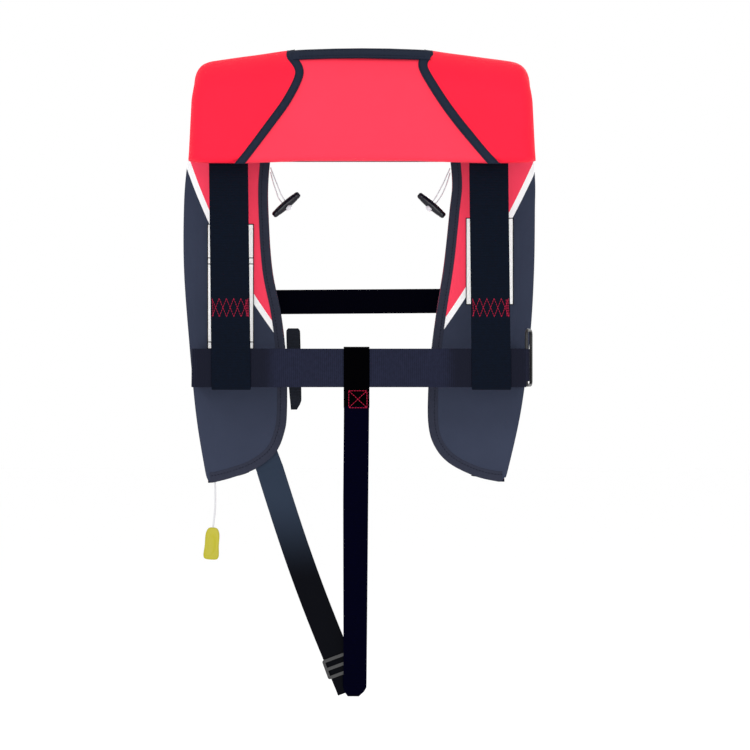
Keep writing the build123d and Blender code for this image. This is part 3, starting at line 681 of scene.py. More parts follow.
def ribbon_rings(path, across, width, thick, wave=0.25, widths=None):
    """Cross-sections of webbing along a path. Across is the direction of its width."""
    path = np.array(path, float)
    ahead = directions(path)
    across = np.broadcast_to(np.array(across, float), path.shape)
    normal = np.cross(ahead, across)
    normal /= np.linalg.norm(normal, axis=1)[:, None]
    length = np.concatenate([[0], np.cumsum(np.linalg.norm(np.diff(path, axis=0), axis=1))])
    shares = np.array([-1, -0.985, -0.94, -0.8, -0.4, 0, 0.4, 0.8, 0.94, 0.985, 1])
    height = np.array([0.25, 0.7, 1.0, 0.94, 0.9, 0.9, 0.9, 0.94, 1.0, 0.7, 0.25]) * thick / 2
    rings = []
    for i, point in enumerate(path):
        low, high = (-width / 2, width / 2) if widths is None else widths[i]
        u = low + (high - low) * (shares + 1) / 2
        lift = [wave * noise.noise(Vector((length[i] / 45, v / 40, thick * 3 + width))) for v in u]
        base = point + across[i] * u[:, None] + normal[i] * np.array(lift)[:, None]
        top = base + normal[i] * height[:, None]
        under = base - normal[i] * height[:, None]
        rings.append(np.concatenate([top, under[::-1]]))
    return np.array(rings)


def ribbon(name, path, across, width, thick, materials, wave=0.25, widths=None):
    """Webbing along a path. The widths can give both edges at each point."""
    return sweep(name, ribbon_rings(path, across, width, thick, wave, widths), materials)


def tube(name, path, radius, materials, sides=8):
    """A round bead of cloth or wire along a path."""
    path = np.array(path, float)
    ahead = directions(path)
    rings = []
    side = np.cross(ahead[0], (0, 1, 0.01))
    for point, way in zip(path, ahead):
        side = side - way * (side @ way)
        side /= np.linalg.norm(side)
        other = np.cross(way, side)
        angles = np.arange(sides) * 2 * pi / sides
        rings.append([point + radius * (cos(a) * side + sin(a) * other) for a in angles])
    return sweep(name, rings, materials)


def dashes(name, lines, radius, materials, length=2.3, gap=1.1):
    """Stitches along lines: small rounded threads, one after another."""
    points, faces = [], []
    profile = [(-0.5, 0.35), (-0.3, 0.95), (0, 1.0), (0.3, 0.95), (0.5, 0.35)]
    sides = 6
    for line in lines:
        line = np.array(line, float)
        steps = np.concatenate([[0], np.cumsum(np.linalg.norm(np.diff(line, axis=0), axis=1))])
        for start in np.arange(gap / 2, steps[-1] - length / 2, length + gap):
            ends = (start, start + length)
            first, last = (np.array([np.interp(at, steps, line[:, k]) for k in range(3)]) for at in ends)
            way = (last - first) / max(np.linalg.norm(last - first), 1e-9)
            side = np.cross(way, (0.13, 1, 0.21))
            side /= np.linalg.norm(side)
            other = np.cross(way, side)
            middle, base = (first + last) / 2, len(points)
            for at, share in profile:
                for k in range(sides):
                    spoke = cos(2 * pi * k / sides) * side + sin(2 * pi * k / sides) * other
                    points.append(middle + way * at * length + radius * share * spoke)
            for i in range(len(profile) - 1):
                row = base + i * sides
                for k in range(sides):
                    ahead = (k + 1) % sides
                    faces.append((row + k, row + ahead, row + sides + ahead, row + sides + k))
            end = base + (len(profile) - 1) * sides
            faces += [tuple(range(base + sides - 1, base - 1, -1)), tuple(range(end, end + sides))]
    return make(name, points, faces, materials)


def parallel(line, offset):
    """A flat line moved to its left by an offset."""
    line = np.array(line, float)
    ahead = directions(line)
    return [tuple(p) for p in line + np.stack([-ahead[:, 1], ahead[:, 0]], axis=1) * offset]


def along_surface(line, place, reach, sideways):
    """Points beside a flat line, taken to space at a distance."""
    beside = np.array(parallel(densify(line, 4.0), sideways))
    return place(beside, np.full(len(beside), reach))


def band(name, line, place, profile, materials):
    """A strip along a flat line, from a cross-section of (sideways, reach) points."""
    rows = [along_surface(line, place, reach, sideways) for sideways, reach in profile]
    return sweep(name, np.stack(rows, axis=1), materials)


# Cords


def cord_line(name, route, diameter, material, slot, body, node):
    """A cord on one smooth curve through its route."""
    curve = bpy.data.curves.new(name, "CURVE")
    curve.dimensions = "3D"
    spline = curve.splines.new("NURBS")
    spline.points.add(len(route) - 1)
    for point, place in zip(spline.points, route):
        point.co = (*[c * MM for c in place], 1.0)
    spline.order_u = 3
    spline.use_endpoint_u = True
    curve.resolution_u = 12
    curve.bevel_depth = diameter / 2 * MM
    curve.bevel_resolution = 4
    curve.use_fill_caps = True
    curve.materials.append(material)
    cord = bpy.data.objects.new(name, curve)
    scene.collection.objects.link(cord)
    return settle(cord, body, slot, node)


PULL_ROUTE = [
    (-192.2, 48.0, -530.0),
    (-192.5, 46.4, -535.5),
    (-192.3, 43.2, -540.0),
    (-191.8, 42.5, -545.8),
    (-191.0, 42.45, -556.5),
    (-190.2, 42.5, -577.0),
    (-190.6, 42.5, -598.6),
    (-193.4, 42.5, -620.0),
]
HANDLE_TILT = 4.0
TOGGLE_Y, TOGGLE_TILT, TOGGLE_EDGE = 50.0, 40.6, 118.2
TOGGLE_DOWN = [(23.3, 49.0), (17.8, 36.0), (12.0, 23.5)]
TOGGLE_UP = [(14.8, 17.5), (19.6, 29.5), (23.3, 43.0)]


def toggle_axes(name):
    """A bead's middle, the direction along its barrel and the one from its middle to its notch."""
    side, (out, height) = SIDES[name], OUTLINES[name]["toggle"]
    tilt = radians(TOGGLE_TILT)
    along = (-side * cos(tilt), 0.0, sin(tilt))
    to_notch = (-side * sin(tilt), 0.0, -cos(tilt))
    return np.array((side * out, TOGGLE_Y, height)), np.array(along), np.array(to_notch)


def toggle_route(name):
    """Down from the lobe's edge, through the bead's hole, round and back."""
    side, (out, height) = SIDES[name], OUTLINES[name]["toggle"]
    centre, along, to_notch = toggle_axes(name)
    spread = (TOGGLE_EDGE - out) / TOGGLE_DOWN[0][0]

    def hanging(points):
        return [(side * (out + x * spread), TOGGLE_Y, height + z) for x, z in points]

    turn = [(2.7, -12), (2.2, -3), (2.35, 6), (-2.35, 6), (-2.2, -3), (-2.7, -12)]
    middle = [tuple(centre + along * a + to_notch * b) for a, b in turn]
    return hanging(TOGGLE_DOWN) + middle + hanging(TOGGLE_UP)


def pull_handle():
    """A crowned plate, narrow at the cord and flared at its foot, with a thumb hollow and two ribs."""
    half = [(4.2, 0.2), (7.4, -2.6), (9.4, -9.5), (9.1, -24), (10.2, -34), (10.0, -38.6), (7.6, -42)]
    loop = half + [(-x, z) for x, z in reversed(half)]
    soft = np.array(loop)
    for _ in range(2):
        near = soft * 0.78 + np.roll(soft, -1, axis=0) * 0.22
        far = soft * 0.22 + np.roll(soft, -1, axis=0) * 0.78
        soft = np.stack([near, far], axis=1).reshape(-1, 2)
    outline = [tuple(p) for p in soft]
    flat, faces = fill(outline, 1.1, rings=(0.35, 0.8))
    depth = 1.3 + 1.2 * pillow(edge_distance(flat, outline + outline[:1]), 3.0)
    hollow = np.clip(1 - (flat[:, 0] / 5.2) ** 2 - ((flat[:, 1] + 22) / 13.0) ** 2, 0, 1)
    depth = depth - 0.75 * hollow**0.5
    ribs = sum(np.clip(1 - np.abs((flat[:, 1] + low) / 0.9), 0, 1) for low in (39.0, 36.2))
    depth = depth + 0.35 * ribs * (np.abs(flat[:, 0]) < 7.5)
    tilt, (px, py, pz) = radians(HANDLE_TILT), PULL_ROUTE[-1]
    x = px + flat[:, 0] * cos(tilt) + flat[:, 1] * sin(tilt)
    z = pz + flat[:, 1] * cos(tilt) - flat[:, 0] * sin(tilt)
    outer = np.stack([x, py - depth, z], axis=1)
    inner = np.stack([x, py + depth, z], axis=1)
    handle = slab("pull_grip", flat, faces, outer, inner, [YELLOW])
    return settle(handle, "pull", "yellow_plastic", "pull_handle")


def add_cords():
    grip = pull_handle()
    cord = cord_line("pull_line", PULL_ROUTE, 2.5, CORD_GREY, "grey_cord", "pull", "pull_cord")
    for name, length in (("left", 0.117), ("right", 0.120)):
        route = toggle_route(name)
        body = "toggle_" + name
        node = "toggle_cord_" + name
        line = cord_line("toggle_line_" + name, route, 1.6, CORD_WHITE, "white_cord", body, node)
        pieces = [toggle_knot(name, route), toggle_bead(name)][::-1]


def toggle_knot(name, route):
    """The white knot that sits in the bead's notch."""
    turn = (Vector(route[5]) + Vector(route[6])) / 2
    ball = bmesh.new()
    bmesh.ops.create_icosphere(ball, subdivisions=4, radius=4.4)
    along, to_notch = (Vector(way) for way in toggle_axes(name)[1:])
    for vertex in ball.verts:
        p = vertex.co
        turns = 0.35 * sin(5.2 * p.x + 3.1 * p.y)
        shaped = Vector((p.x * 1.1, p.y * 0.95, p.z * 0.72)) * (1 + turns / 5)
        placed = along * shaped.x + Vector((0, 1, 0)) * shaped.y + to_notch * shaped.z
        vertex.co = (turn - to_notch * 0.9 + placed) * MM
    for face in ball.faces:
        face.smooth = True
    mesh = bpy.data.meshes.new("toggle_knot_" + name)
    ball.to_mesh(mesh)
    ball.free()
    mesh.materials.append(CORD_WHITE)
    knot = bpy.data.objects.new("toggle_knot_" + name, mesh)
    scene.collection.objects.link(knot)
    return settle(knot, "toggle_" + name, "white_cord")


def toggle_bead(name):
    """The barrel bead, with a groove round each end and a notch on its lower side for the knot."""
    centre, along, to_notch = toggle_axes(name)
    cross = np.array((0, 1.0, 0))
    rings, steps, sides = [], 60, 40
    half_length = 22.5
    for i in range(steps + 1):
        t = -1 + 2 * i / steps
        radius = 3.9 + 1.7 * (1 - t * t)
        radius *= 1 - 0.34 * max(0, (abs(t) - 0.88) / 0.12) ** 2.2
        radius -= 0.35 * max(0, 1 - ((abs(t) - 0.72) / 0.035) ** 2)
        ring = []
        for k in range(sides):
            a = 2 * pi * k / sides
            notch = max(0, 1 - (t / 0.2) ** 4) * max(0, cos(a)) ** 1.5
            r = radius * (1 - 0.42 * notch)
            ring.append(centre + along * t * half_length + r * (cos(a) * to_notch + sin(a) * cross))
        rings.append(ring)
    bead = sweep("toggle_barrel_" + name, rings, [GLOSS])
    return settle(bead, "toggle_" + name, "gloss_black_plastic", "toggle_bead_" + name)


# Padded shell


def shoulder_loop(name):
    """Outline in (across, along) of one outer panel: flap, shoulder and front down to the opening cover."""
    side = SIDES[name]
    flap = flap_line(name)
    top_x, low_x = OUTLINES[name]["yoke_edge"]
    neck = [(side * 84, 100), (side * 84, PATH_FRONT - 16)]
    inner = [on_front((x + side * INSET, z)) for x, z in above(inner_edge(name, -50), LID_TOP)]
    outer = [on_front(p) for p in above(outer_edge(name, -60), LID_TOP)]
    back = [(side * (top_x - 3), 30), (side * top_x, -4), (side * low_x, on_back((low_x, -136))[1])]
    back += [(side * (low_x + more), on_back((low_x, z))[1]) for more, z in ((1, -150), (-4, YOKE_LOW))]
    front = [on_front((side * (top_x + 3), -85))]
    front += [(side * top_x, PATH_FRONT - 2), (side * (top_x - 3), PATH_FRONT - 30)]
    loop = flap + neck + inner + outer[::-1] + front + back
    edges = {
        "flap": flap,
        "neck": flap[-1:] + neck + inner,
        "seam": [inner[-1], outer[-1]],
        "outer": outer[::-1] + front + back,
        "hem": [back[-1], flap[0]],
    }
    return loop, edges


def roll_hem(flat, hem, reach):
    """Turns the hem under, so that its lowest line is on the outside."""
    turned = np.array(flat, float)
    share = np.clip((COVER_FULL - reach) / (COVER_FULL - COVER_EDGE), 0, 1)
    turned[:, 1] += 6.5 * share * np.clip(1 - hem / 12, 0, 1)
    return turned


def shoulder_reach(name, flat, edges):
    neck = edge_distance(flat, edges["neck"])
    width = np.interp(flat[:, 1], [60, 100, 150], [7, 12, 25])
    outer = edge_distance(flat, edges["outer"])
    hem = pillow(edge_distance(flat, edges["hem"]), 15, 3.0)
    sides = np.minimum(pillow(neck, width), pillow(outer, 25))
    body = sides * hem
    arch = np.interp(flat[:, 1], [0, 45, 160, 210], [0, 1, 1, 0])
    reach = COVER_EDGE + (COVER_FULL - 2.6 * arch - COVER_EDGE) * body
    on_flap = np.clip(1 - (flat[:, 1] - 45) / 25.0, 0, 1)
    lip = FLAP_FULL - 1.6 * arch - 0.9 * (1 - pillow(edge_distance(flat, edges["flap"]), 9))
    rise = np.minimum((COVER_FULL - COVER_EDGE) * pillow(outer, 22), lip - COVER_EDGE)
    near_flap = COVER_EDGE + rise * hem
    reach = reach * (1 - on_flap) + near_flap * on_flap
    reach -= 2.2 * (1 - pillow(edge_distance(flat, edges["seam"]), 7)) * sides
    return reach + rumple(flat, 42, SIDES[name] * 3.7, 0.7) * body


def add_shoulder(name):
    loop, edges = shoulder_loop(name)
    flat, faces = fill(loop, 4.0, rings=(0.5, 1.4, 3.0, 5.6))
    reach = shoulder_reach(name, flat, edges)
    turned = roll_hem(flat, edge_distance(flat, edges["hem"]), reach)
    cushion(
        "shoulder_pad_" + name, turned, faces, over_shoulder, reach, reach - SHELL_THICK, [RED],
        0.7, "red_shell", "shoulder_cover_" + name,
    )
    path = along_surface(edges["neck"][3:], over_shoulder, COVER_EDGE - 0.6, 0)
    settle(tube("front_piping_" + name, path, 1.5, [PIPING]), "root", "navy_binding")


def add_flap_binding(name):
    line = flap_line(name)
    run = np.subtract(line[0], line[2])
    line = [tuple(np.add(line[0], run * 6.0 / np.hypot(*run)))] + line
    half = OUTLINES[name]["flap_band"] / 2
    high = FLAP_FULL + 1.2
    low = high - 3.5
    profile = [
        (-half, low), (-half, high - 1.3), (-half + 1.0, high - 0.3), (-half / 2, high), (0, high + 0.1),
        (half / 2, high), (half - 1.0, high - 0.3), (half, high - 1.3), (half, low),
    ]
    piece = band("flap_edge_" + name, line, lowered, profile, [DARK_BINDING])
    settle(piece, "root", "navy_binding", "flap_binding_" + name)
    rows = [along_surface(line, lowered, high + 0.15, s * (half - 1.6)) for s in (-1, 1)]
    settle(dashes("flap_stitches_" + name, rows, 0.28, [THREAD_DARK], 1.9, 1.3), "root", "navy_binding")


def lowered(flat, reach):
    """Takes the flap's binding to space, cut level at the hem and lower over the shoulder."""
    hem = YOKE_LOW + 1.6 - PATH_CENTRE + drop(flat[:, 0])
    level = np.stack([flat[:, 0], np.maximum(flat[:, 1], hem)], axis=1)
    return over_shoulder(level, reach - np.interp(flat[:, 1], [0, 45, 80], [0, 1.6, 3.6]))


def add_centre_panel():
    """The panel between the flaps, which runs under both."""
    left = [(x - 3, s) for x, s in flap_line("left") if s < 41]
    right = [(x + 3, s) for x, s in flap_line("right") if s < 41]
    hem_line = [left[0]] + [on_back((x, YOKE_LOW + 2.5)) for x in (-SLOPE_START, SLOPE_START)] + [right[0]]
    loop = left[::-1] + hem_line[1:-1] + right
    flat, faces = fill(loop, 4.0, rings=(0.5, 1.4, 3.0, 5.6))
    hem = edge_distance(flat, hem_line)
    top = edge_distance(flat, [left[-1], right[-1]])
    sides = np.minimum(edge_distance(flat, left), edge_distance(flat, right))
    full = PANEL_FULL - 0.9 * (1 - pillow(sides, 22)) + rumple(flat, 60, 5.5, 0.7)
    reach = COVER_EDGE + (full - COVER_EDGE) * pillow(hem, 15, 3.0) * (0.94 + 0.06 * pillow(top, 14))
    turned = roll_hem(flat, hem, reach)
    cushion(
        "yoke_panel", turned, faces, over_shoulder, reach, reach - SHELL_THICK, [PANEL_RED],
        0.6, "red_shell", "yoke_centre_panel",
    )


def add_neck_binding():
    """The bound neck edge: a lip over the top of the panel and a wall down inside it."""
    low, high = corners("neck_binding")
    centre, width = (low[0] + high[0]) / 2, high[0] - low[0] + 14
    lip = [radians(a) for a in range(37, 60, 3)]
    path = [(-TOP_HALF - 52.4 * cos(a), PATH_CENTRE + 52.4 * sin(a)) for a in lip]
    path += [(-39.5, -5.4), (-38.4, -8), (-38.8, -28), (-38.8, -50)]
    points = smooth_path([(centre, y, z) for y, z in path], 3.0, 1)
    rings = ribbon_rings(points, (1, 0, 0), width, 2.0, 0.1)
    rings[:, :, 2] -= 2.6 * ((rings[:, :, 0] - centre) / (width / 2)) ** 2
    settle(sweep("neck_edge", rings, [DARK_BINDING]), "root", "navy_binding", "neck_binding")
    xs = np.linspace(low[0], high[0], 30)
    rows = []
    for angle in (radians(41), radians(55)):
        y, z = -TOP_HALF - 53.6 * cos(angle), PATH_CENTRE + 53.6 * sin(angle)
        rows.append([(x, y, z - 2.6 * ((x - centre) / (width / 2)) ** 2) for x in xs])
    settle(dashes("neck_stitches", rows, 0.3, [THREAD_DARK], 2.2, 1.6), "root", "navy_binding")


# Lobes


def stripe_line(name):
    """The middle of the white stripe, run on past both ends of its arc."""
    line = arc(*OUTLINES[name]["stripe"], steps=40)
    head = np.subtract(line[0], line[3]) * 1.5 + line[0]
    tail = np.subtract(line[-1], line[-4]) * 1.8 + line[-1]
    return [tuple(head)] + line + [tuple(tail)]


def zone_of(name):
    """Which colour a point of the lining has: 0 charcoal, 1 red or 2 white."""
    stripe = np.array(mirrored(stripe_line(name), SIDES[name]))

    def zone(middle):
        away = edge_distance(middle, stripe)
        height = np.interp(SIDES[name] * middle[:, 0], SIDES[name] * stripe[::-1, 0], stripe[::-1, 1])
        red = middle[:, 1] > height
        return np.where(away < 3.7, 2, np.where(red, 1, 0))

    return zone


def clipped(line, loop):
    """The part of a line inside an outline."""
    points = np.array(line)
    keep = inside(points, loop) & (edge_distance(points, loop + loop[:1]) > 1.0)
    return [tuple(p) for p, k in zip(points, keep) if k]


def add_lining(name):
    """The lobe's body-side panel with its printed pattern."""
    side = SIDES[name]
    inner = inner_edge(name, -95)
    outer = outer_edge(name, -95)[:-1]
    loop = inner + outer[::-1]
    centre = mirrored(stripe_line(name), side)
    lines = [clipped(parallel(densify(centre, 3), way * 3.7), loop) for way in (-1, 1)]
    flat, faces = fill(loop, 4.0, lines=lines, rings=(1.5,))
    away = edge_distance(flat, loop + loop[:1])
    dip = 0.35 * np.exp(-(((away - 20) / 4.0) ** 2))
    body_side = LINING_IN + dip + rumple(flat, 30, side * 8.1, 0.25)
    cushion(
        "lobe_lining_" + name, flat, faces, upright, body_side, LINING_OUT - 0.2,
        [LINING, LINING_RED, LINING_WHITE], 0.2,
        "charcoal_lining", "lobe_backing_" + name, zone=zone_of(name),
    )


def add_lobe_binding(name):
    """Folded binding round the inner and bottom edge, with a row of stitches down its middle."""
    side = SIDES[name]
    line = inner_edge(name, -60)
    profile = [
        (EDGE_BAND, 38.2), (EDGE_BAND - 0.2, 37.6), (EDGE_BAND - 1, 37.3), (9.4, 37.2), (8.4, 37.4),
        (7.4, 37.2), (3, 37.2), (1.2, 37.3), (0.2, 37.8), (-0.4, 38.8), (-0.4, 40.2), (0.2, 41.2),
        (1.4, 41.6), (9, 41.6), (9, 40.9),
    ]
    turned = [(side * n, y) for n, y in profile]
    piece = band("lobe_edge_" + name, line, upright, turned, [BINDING])
    settle(piece, "root", "navy_binding", "lobe_binding_" + name)
    rows = [along_surface(line, upright, 37.2, side * 8.4)]
    settle(dashes("lobe_stitches_" + name, rows, 0.42, [THREAD_DARK], 2.4, 1.8), "root", "navy_binding")


def add_lid(name):
    """The opening lower half of the front cover: a puffed shell with a turned-in edge."""
    side, body = SIDES[name], name + "_cover"
    inner = [(x + side * INSET, z) for x, z in below(inner_edge(name, -200), LID_TOP - 0.8)]
    outer = below(outer_edge(name, -200), LID_TOP - 0.8)[:-1]
    loop = inner + outer[::-1]
    flat, faces = fill(loop, 4.0, rings=(0.5, 1.4, 3.0, 5.6))
    free = edge_distance(flat, inner + outer[::-1])
    seam = edge_distance(flat, [inner[0], outer[0]])
    full = COVER_FULL + (LID_FULL - COVER_FULL) * pillow(seam, 60, 1.6)
    reach = COVER_EDGE + 0.8 + (full - COVER_EDGE - 0.8) * pillow(free, 25)
    reach -= 2.2 * (1 - pillow(seam, 7)) * pillow(free, 12)
    reach = reach + rumple(flat, 36, side * 5.1, 0.9) * pillow(free, 25)
    cushion(
        "lobe_lid_" + name, flat, faces, upright, reach, reach - SHELL_THICK, [RED],
        0.6, "red_shell", "opening_cover_" + name, body=body,
    )
    path = along_surface(inner, upright, COVER_EDGE + 0.6, 0)
    settle(tube("lid_piping_" + name, path, 1.4, [PIPING]), body, "navy_binding")
    cut = [p for p in inner if p[1] < LID_TOP - 3 and abs(p[0]) < 168]
    profile = [(side * n, y) for n, y in ((1, 44.3), (1, 45.6), (11, 45.6), (11, 44.3))]
    settle(band("lid_flange_" + name, cut, upright, profile, [RED]), body, "red_shell")


def add_bladder():
    """The folded bladder: two lobes over the shoulders."""
    for name, side in SIDES.items():
        inner = inner_edge(name, -60)
        outer = outer_edge(name, -90)
        inner_low = [p for p in inner if p[1] > -500]
        front_inner = [on_front((x + side * (8 if z > LID_TOP else 21), z)) for x, z in inner_low]
        front_outer = [on_front((x - side * 9, z)) for x, z in outer if z > -370]
        room = {"left": -151, "right": 158}[name]
        cut = [on_front((room, -372)), on_front((room, -528))]
        back = [(side * 196, -4), (side * 196, on_back((196, YOKE_LOW + 18))[1])]
        flap = [(side * 104, on_back((104, YOKE_LOW + 18))[1]), (side * 97, 40), (side * 97, PATH_FRONT - 8)]
        loop = flap + front_inner + cut[::-1] + front_outer[::-1] + [(side * 202, PATH_FRONT)] + back
        flat, faces = fill(loop, 6.0, rings=(1.0, 3.5))
        away = edge_distance(flat, loop + loop[:1])
        reach = 46.5 + 19 * pillow(away, 20) + rumple(flat, 18, side * 2.2, 1.2) * pillow(away, 20)
        stands_for = ["bladder"] if name == "left" else []
        cushion(
            "bladder_" + name, flat, faces, over_shoulder, reach, 45.2, [FILM],
            0.5, "bladder_film", *stands_for,
        )


def add_label(name):
    """A blank white label with a thin dark frame and dividing lines."""
    side = SIDES[name]
    low, high, top, bottom = OUTLINES[name]["label"]
    loop = [(side * low, top), (side * high, top), (side * high, bottom), (side * low, bottom)]
    flat, faces = fill(loop, 6.0, rings=(0.8,))
    lift = rumple(flat, 30, side * 8.1, 0.25)
    face, under = upright(flat, LINING_IN - 0.55 + lift), upright(flat, LINING_IN + 0.3)
    piece = slab("label_" + name, flat, faces, face, under, [LABEL])
    settle(piece, "root", "white_label", "lobe_label_" + name)
    rows = [loop + loop[:1]]
    dividers = (-266.0, -273.9, -376.2) if name == "left" else ()
    rows += [[(side * low, z), (side * high, z)] for z in dividers]
    points, faces = [], []
    half, y, thick = 0.55, LINING_IN - 0.75, 0.5
    for row in rows:
        for a, b in zip(row, row[1:]):
            first, last = np.minimum(a, b) - half, np.maximum(a, b) + half
            level = a[1] == b[1]
            cuts = np.linspace(0, 1, 9 if level else 13)
            for near, far in zip(cuts, cuts[1:]):
                shares = np.array(((near, 0), (far, 1)) if level else ((0, near), (1, far)))
                (x1, z1), (x2, z2) = first + (last - first) * shares
                base = len(points)
                around = ((x1, z1), (x2, z1), (x2, z2), (x1, z2))
                points += [(x, py, z) for py in (y, y + thick) for x, z in around]
                faces += [(base, base + 1, base + 2, base + 3), (base + 7, base + 6, base + 5, base + 4)]
                for i in range(4):
                    j = (i + 1) % 4
                    faces.append((base + i, base + 4 + i, base + 4 + j, base + j))
    settle(make("label_lines_" + name, points, faces, [LABEL_LINE]), "root", "white_label")


# Lining of the yoke and shoulders


def add_yoke_lining():
    low, high = corners("yoke_backing")
    foot, out = low[2] + 7.5, high[0] - 4
    loop = [(-out, foot), (-out, -74), (-84, -74), (-84, -53), (84, -53), (84, -74), (out, -74), (out, foot)]
    flat, faces = fill(loop, 6.0, rings=(1.5,))
    away = edge_distance(flat, loop + loop[:1])
    quilt = 0.5 * np.abs(np.sin(flat[:, 0] * pi / 53.0)) ** 0.4
    inner = -(37.6 + 0.6 - quilt * pillow(away, 10)) + rumple(flat, 25, 1.3, 0.3)
    cushion("yoke_lining", flat, faces, upright, inner, -41.0, [MESH], 0.2, "inner_mesh", "yoke_backing")
    for name, side in SIDES.items():
        start = on_back((side * 150, -76))[1]
        end = on_front((side * 150, -100))[1]
        outline = [(85, start), (208, start - 6), (208, end), (112, end), (85, end - 45)]
        outline = mirrored(outline, side)
        flat, faces = fill(outline, 5.0, rings=(1.5,))
        near = LINING_IN + 0.2 + rumple(flat, 25, side * 4.4, 0.3)
        cushion(
            "shoulder_lining_" + name, flat, faces, over_shoulder, near, LINING_OUT, [MESH],
            0.2, "inner_mesh", "shoulder_backing_" + name,
        )


# Straps


def add_back_strap(name):
    side = SIDES[name]
    top_x, low_x = (side * x for x in OUTLINES[name]["strap"])
    low, high = corners("back_strap_" + name)

    def at(y, z):
        return (top_x + (low_x - top_x) * (high[2] - z) / (high[2] - low[2]), y, z)

    outer = [at(-41.8, z) for z in np.linspace(high[2], low[2] + 3, 50)]
    fold = [at(-39.9 - 1.9 * cos(a), low[2] + 2.7 - 1.9 * sin(a)) for a in np.linspace(0.3, pi - 0.3, 7)]
    inner = [at(-38.0, z) for z in np.linspace(low[2] + 4, -385, 8)]
    inner += [at(-38.6 - 1.4 * t, -380 + 40 * t) for t in np.linspace(0, 1, 6)] + [at(-40.1, -323)]
    piece = ribbon("back_webbing_" + name, outer + fold + inner, (1, 0, 0), 49.6, 1.6, [STRAP], 0.3)
    settle(piece, "root", "black_webbing", "back_strap_" + name)
    y, half, rows = -42.95, 23.0, []
    top, bottom = -322.5, -345.5
    crosses = 5
    for k in range(crosses):
        a, b = -half + 2 * half * k / crosses, -half + 2 * half * (k + 1) / crosses
        for first, last in ((top, bottom), (bottom, top)):
            rows.append([np.add(at(y, first), (a, 0, 0)), np.add(at(y, last), (b, 0, 0))])
    for shift in (half - 0.6, half - 2.0, half - 3.2, -half + 0.6):
        rows.append([np.add(at(y, top - 1), (shift, 0, 0)), np.add(at(y, bottom + 1), (shift + 0.8, 0, 0))])
    settle(dashes("strap_stitches_" + name, rows, 0.3, [THREAD_RED], 2.6, 0.6), "root", "black_webbing")


def add_belts():
    middle, height = (BELT_LOW + BELT_HIGH) / 2, BELT_HIGH - BELT_LOW
    y, lug = -39.9, 37.2

    def at(line):
        return smooth_path([(px, py, middle) for px, py in line], 4.0, 2)

    runs = {
        "waist_webbing": [(-210, lug - 10), (-213.6, -30), (-213.2, y + 0.6), (-206, y), (0, y), (211.5, y)],
        "waist_turn_left": [(-186, lug), (-212.5, lug), (-214, lug - 4), (-213.7, -24)],
        "waist_turn_right": [(197, y + 0.9), (201, -34), (212.6, lug - 5), (212.4, lug), (186, lug)],
    }
    for name, run in runs.items():
        whole = name == "waist_webbing"
        material, wave = (BELT, 0.35) if whole else (BELT_SHADED, 0.2)
        piece = ribbon(name, at(run), (0, 0, 1), height, 1.5, [material], wave)
        settle(piece, "root", "navy_webbing", *(["waist_belt_back"] if whole else []))
    ring_x, ring_y = corners("side_ring")[0][0] + 2.0, corners("side_ring")[0][1] + 2.0
    angles = np.linspace(-pi / 2, pi * 0.95, 20)
    turn = [(ring_x + 3.4 * cos(a), ring_y + 3.4 * sin(a), middle + 3.5) for a in angles]
    turn = [(ring_x - 8, y + 1.5, middle + 3.5)] + turn
    keeper = ribbon("ring_keeper", turn, (0, 0, 1), 41, 1.4, [BELT_SHADED], 0.1)
    settle(keeper, "root", "navy_webbing")


def add_chest_strap():
    low, high = corners("chest_strap")
    middle, height = (low[2] + high[2]) / 2, high[2] - low[2]
    xs = np.linspace(low[0], high[0], 60)
    path = [(x, 41.9, middle - 1.0 + 2.0 * (x - low[0]) / (high[0] - low[0])) for x in xs]
    piece = ribbon("chest_webbing", path, (0, 0, 1), height - 0.6, 1.5, [CHEST], 0.25)
    settle(piece, "root", "black_webbing", "chest_strap")


def add_front_belt(name):
    """Half of the front belt: out of the lobe, round the buckle's bar and back on itself."""
    side = SIDES[name]
    low, high = corners("waist_belt_front_" + name)
    middle, height = (low[2] + high[2]) / 2, high[2] - low[2]
    bar, y = 2.0 + side * 31.5, 42.1
    start, far = (high[0], bar + 55) if side > 0 else (low[0], bar - 55)
    path = [(start, y + 0.1, middle), (bar + side * 20, y + 0.2, middle), (bar + side * 9, y + 0.9, middle)]
    path += [(bar + side * 4, y + 3.4, middle), (bar, y + 3.6, middle), (bar - side * 2.9, y + 2.6, middle)]
    path += [(bar - side * 2.9, y - 2.6, middle), (bar, y - 3.6, middle), (bar + side * 4, y - 3.4, middle)]
    path += [(bar + side * 9, y - 1.4, middle), (bar + side * 20, y - 1.3, middle), (far, y - 1.3, middle)]
    piece = ribbon("front_webbing_" + name, smooth_path(path, 4.0, 2), (0, 0, 1), height, 1.3, [BELT], 0.0)
    settle(piece, "root" if side < 0 else "buckle_male", "navy_webbing", "waist_belt_front_" + name)
    y_face, x = y - 2.15, bar + side * 24
    rows = [[(at, y_face, middle - 15), (at, y_face, middle + 15)] for at in (x, x + side * 12)]
    stitches = dashes("belt_stitches_" + name, rows, 0.35, [THREAD_DARK])
    settle(stitches, "root" if side < 0 else "buckle_male", "navy_webbing")


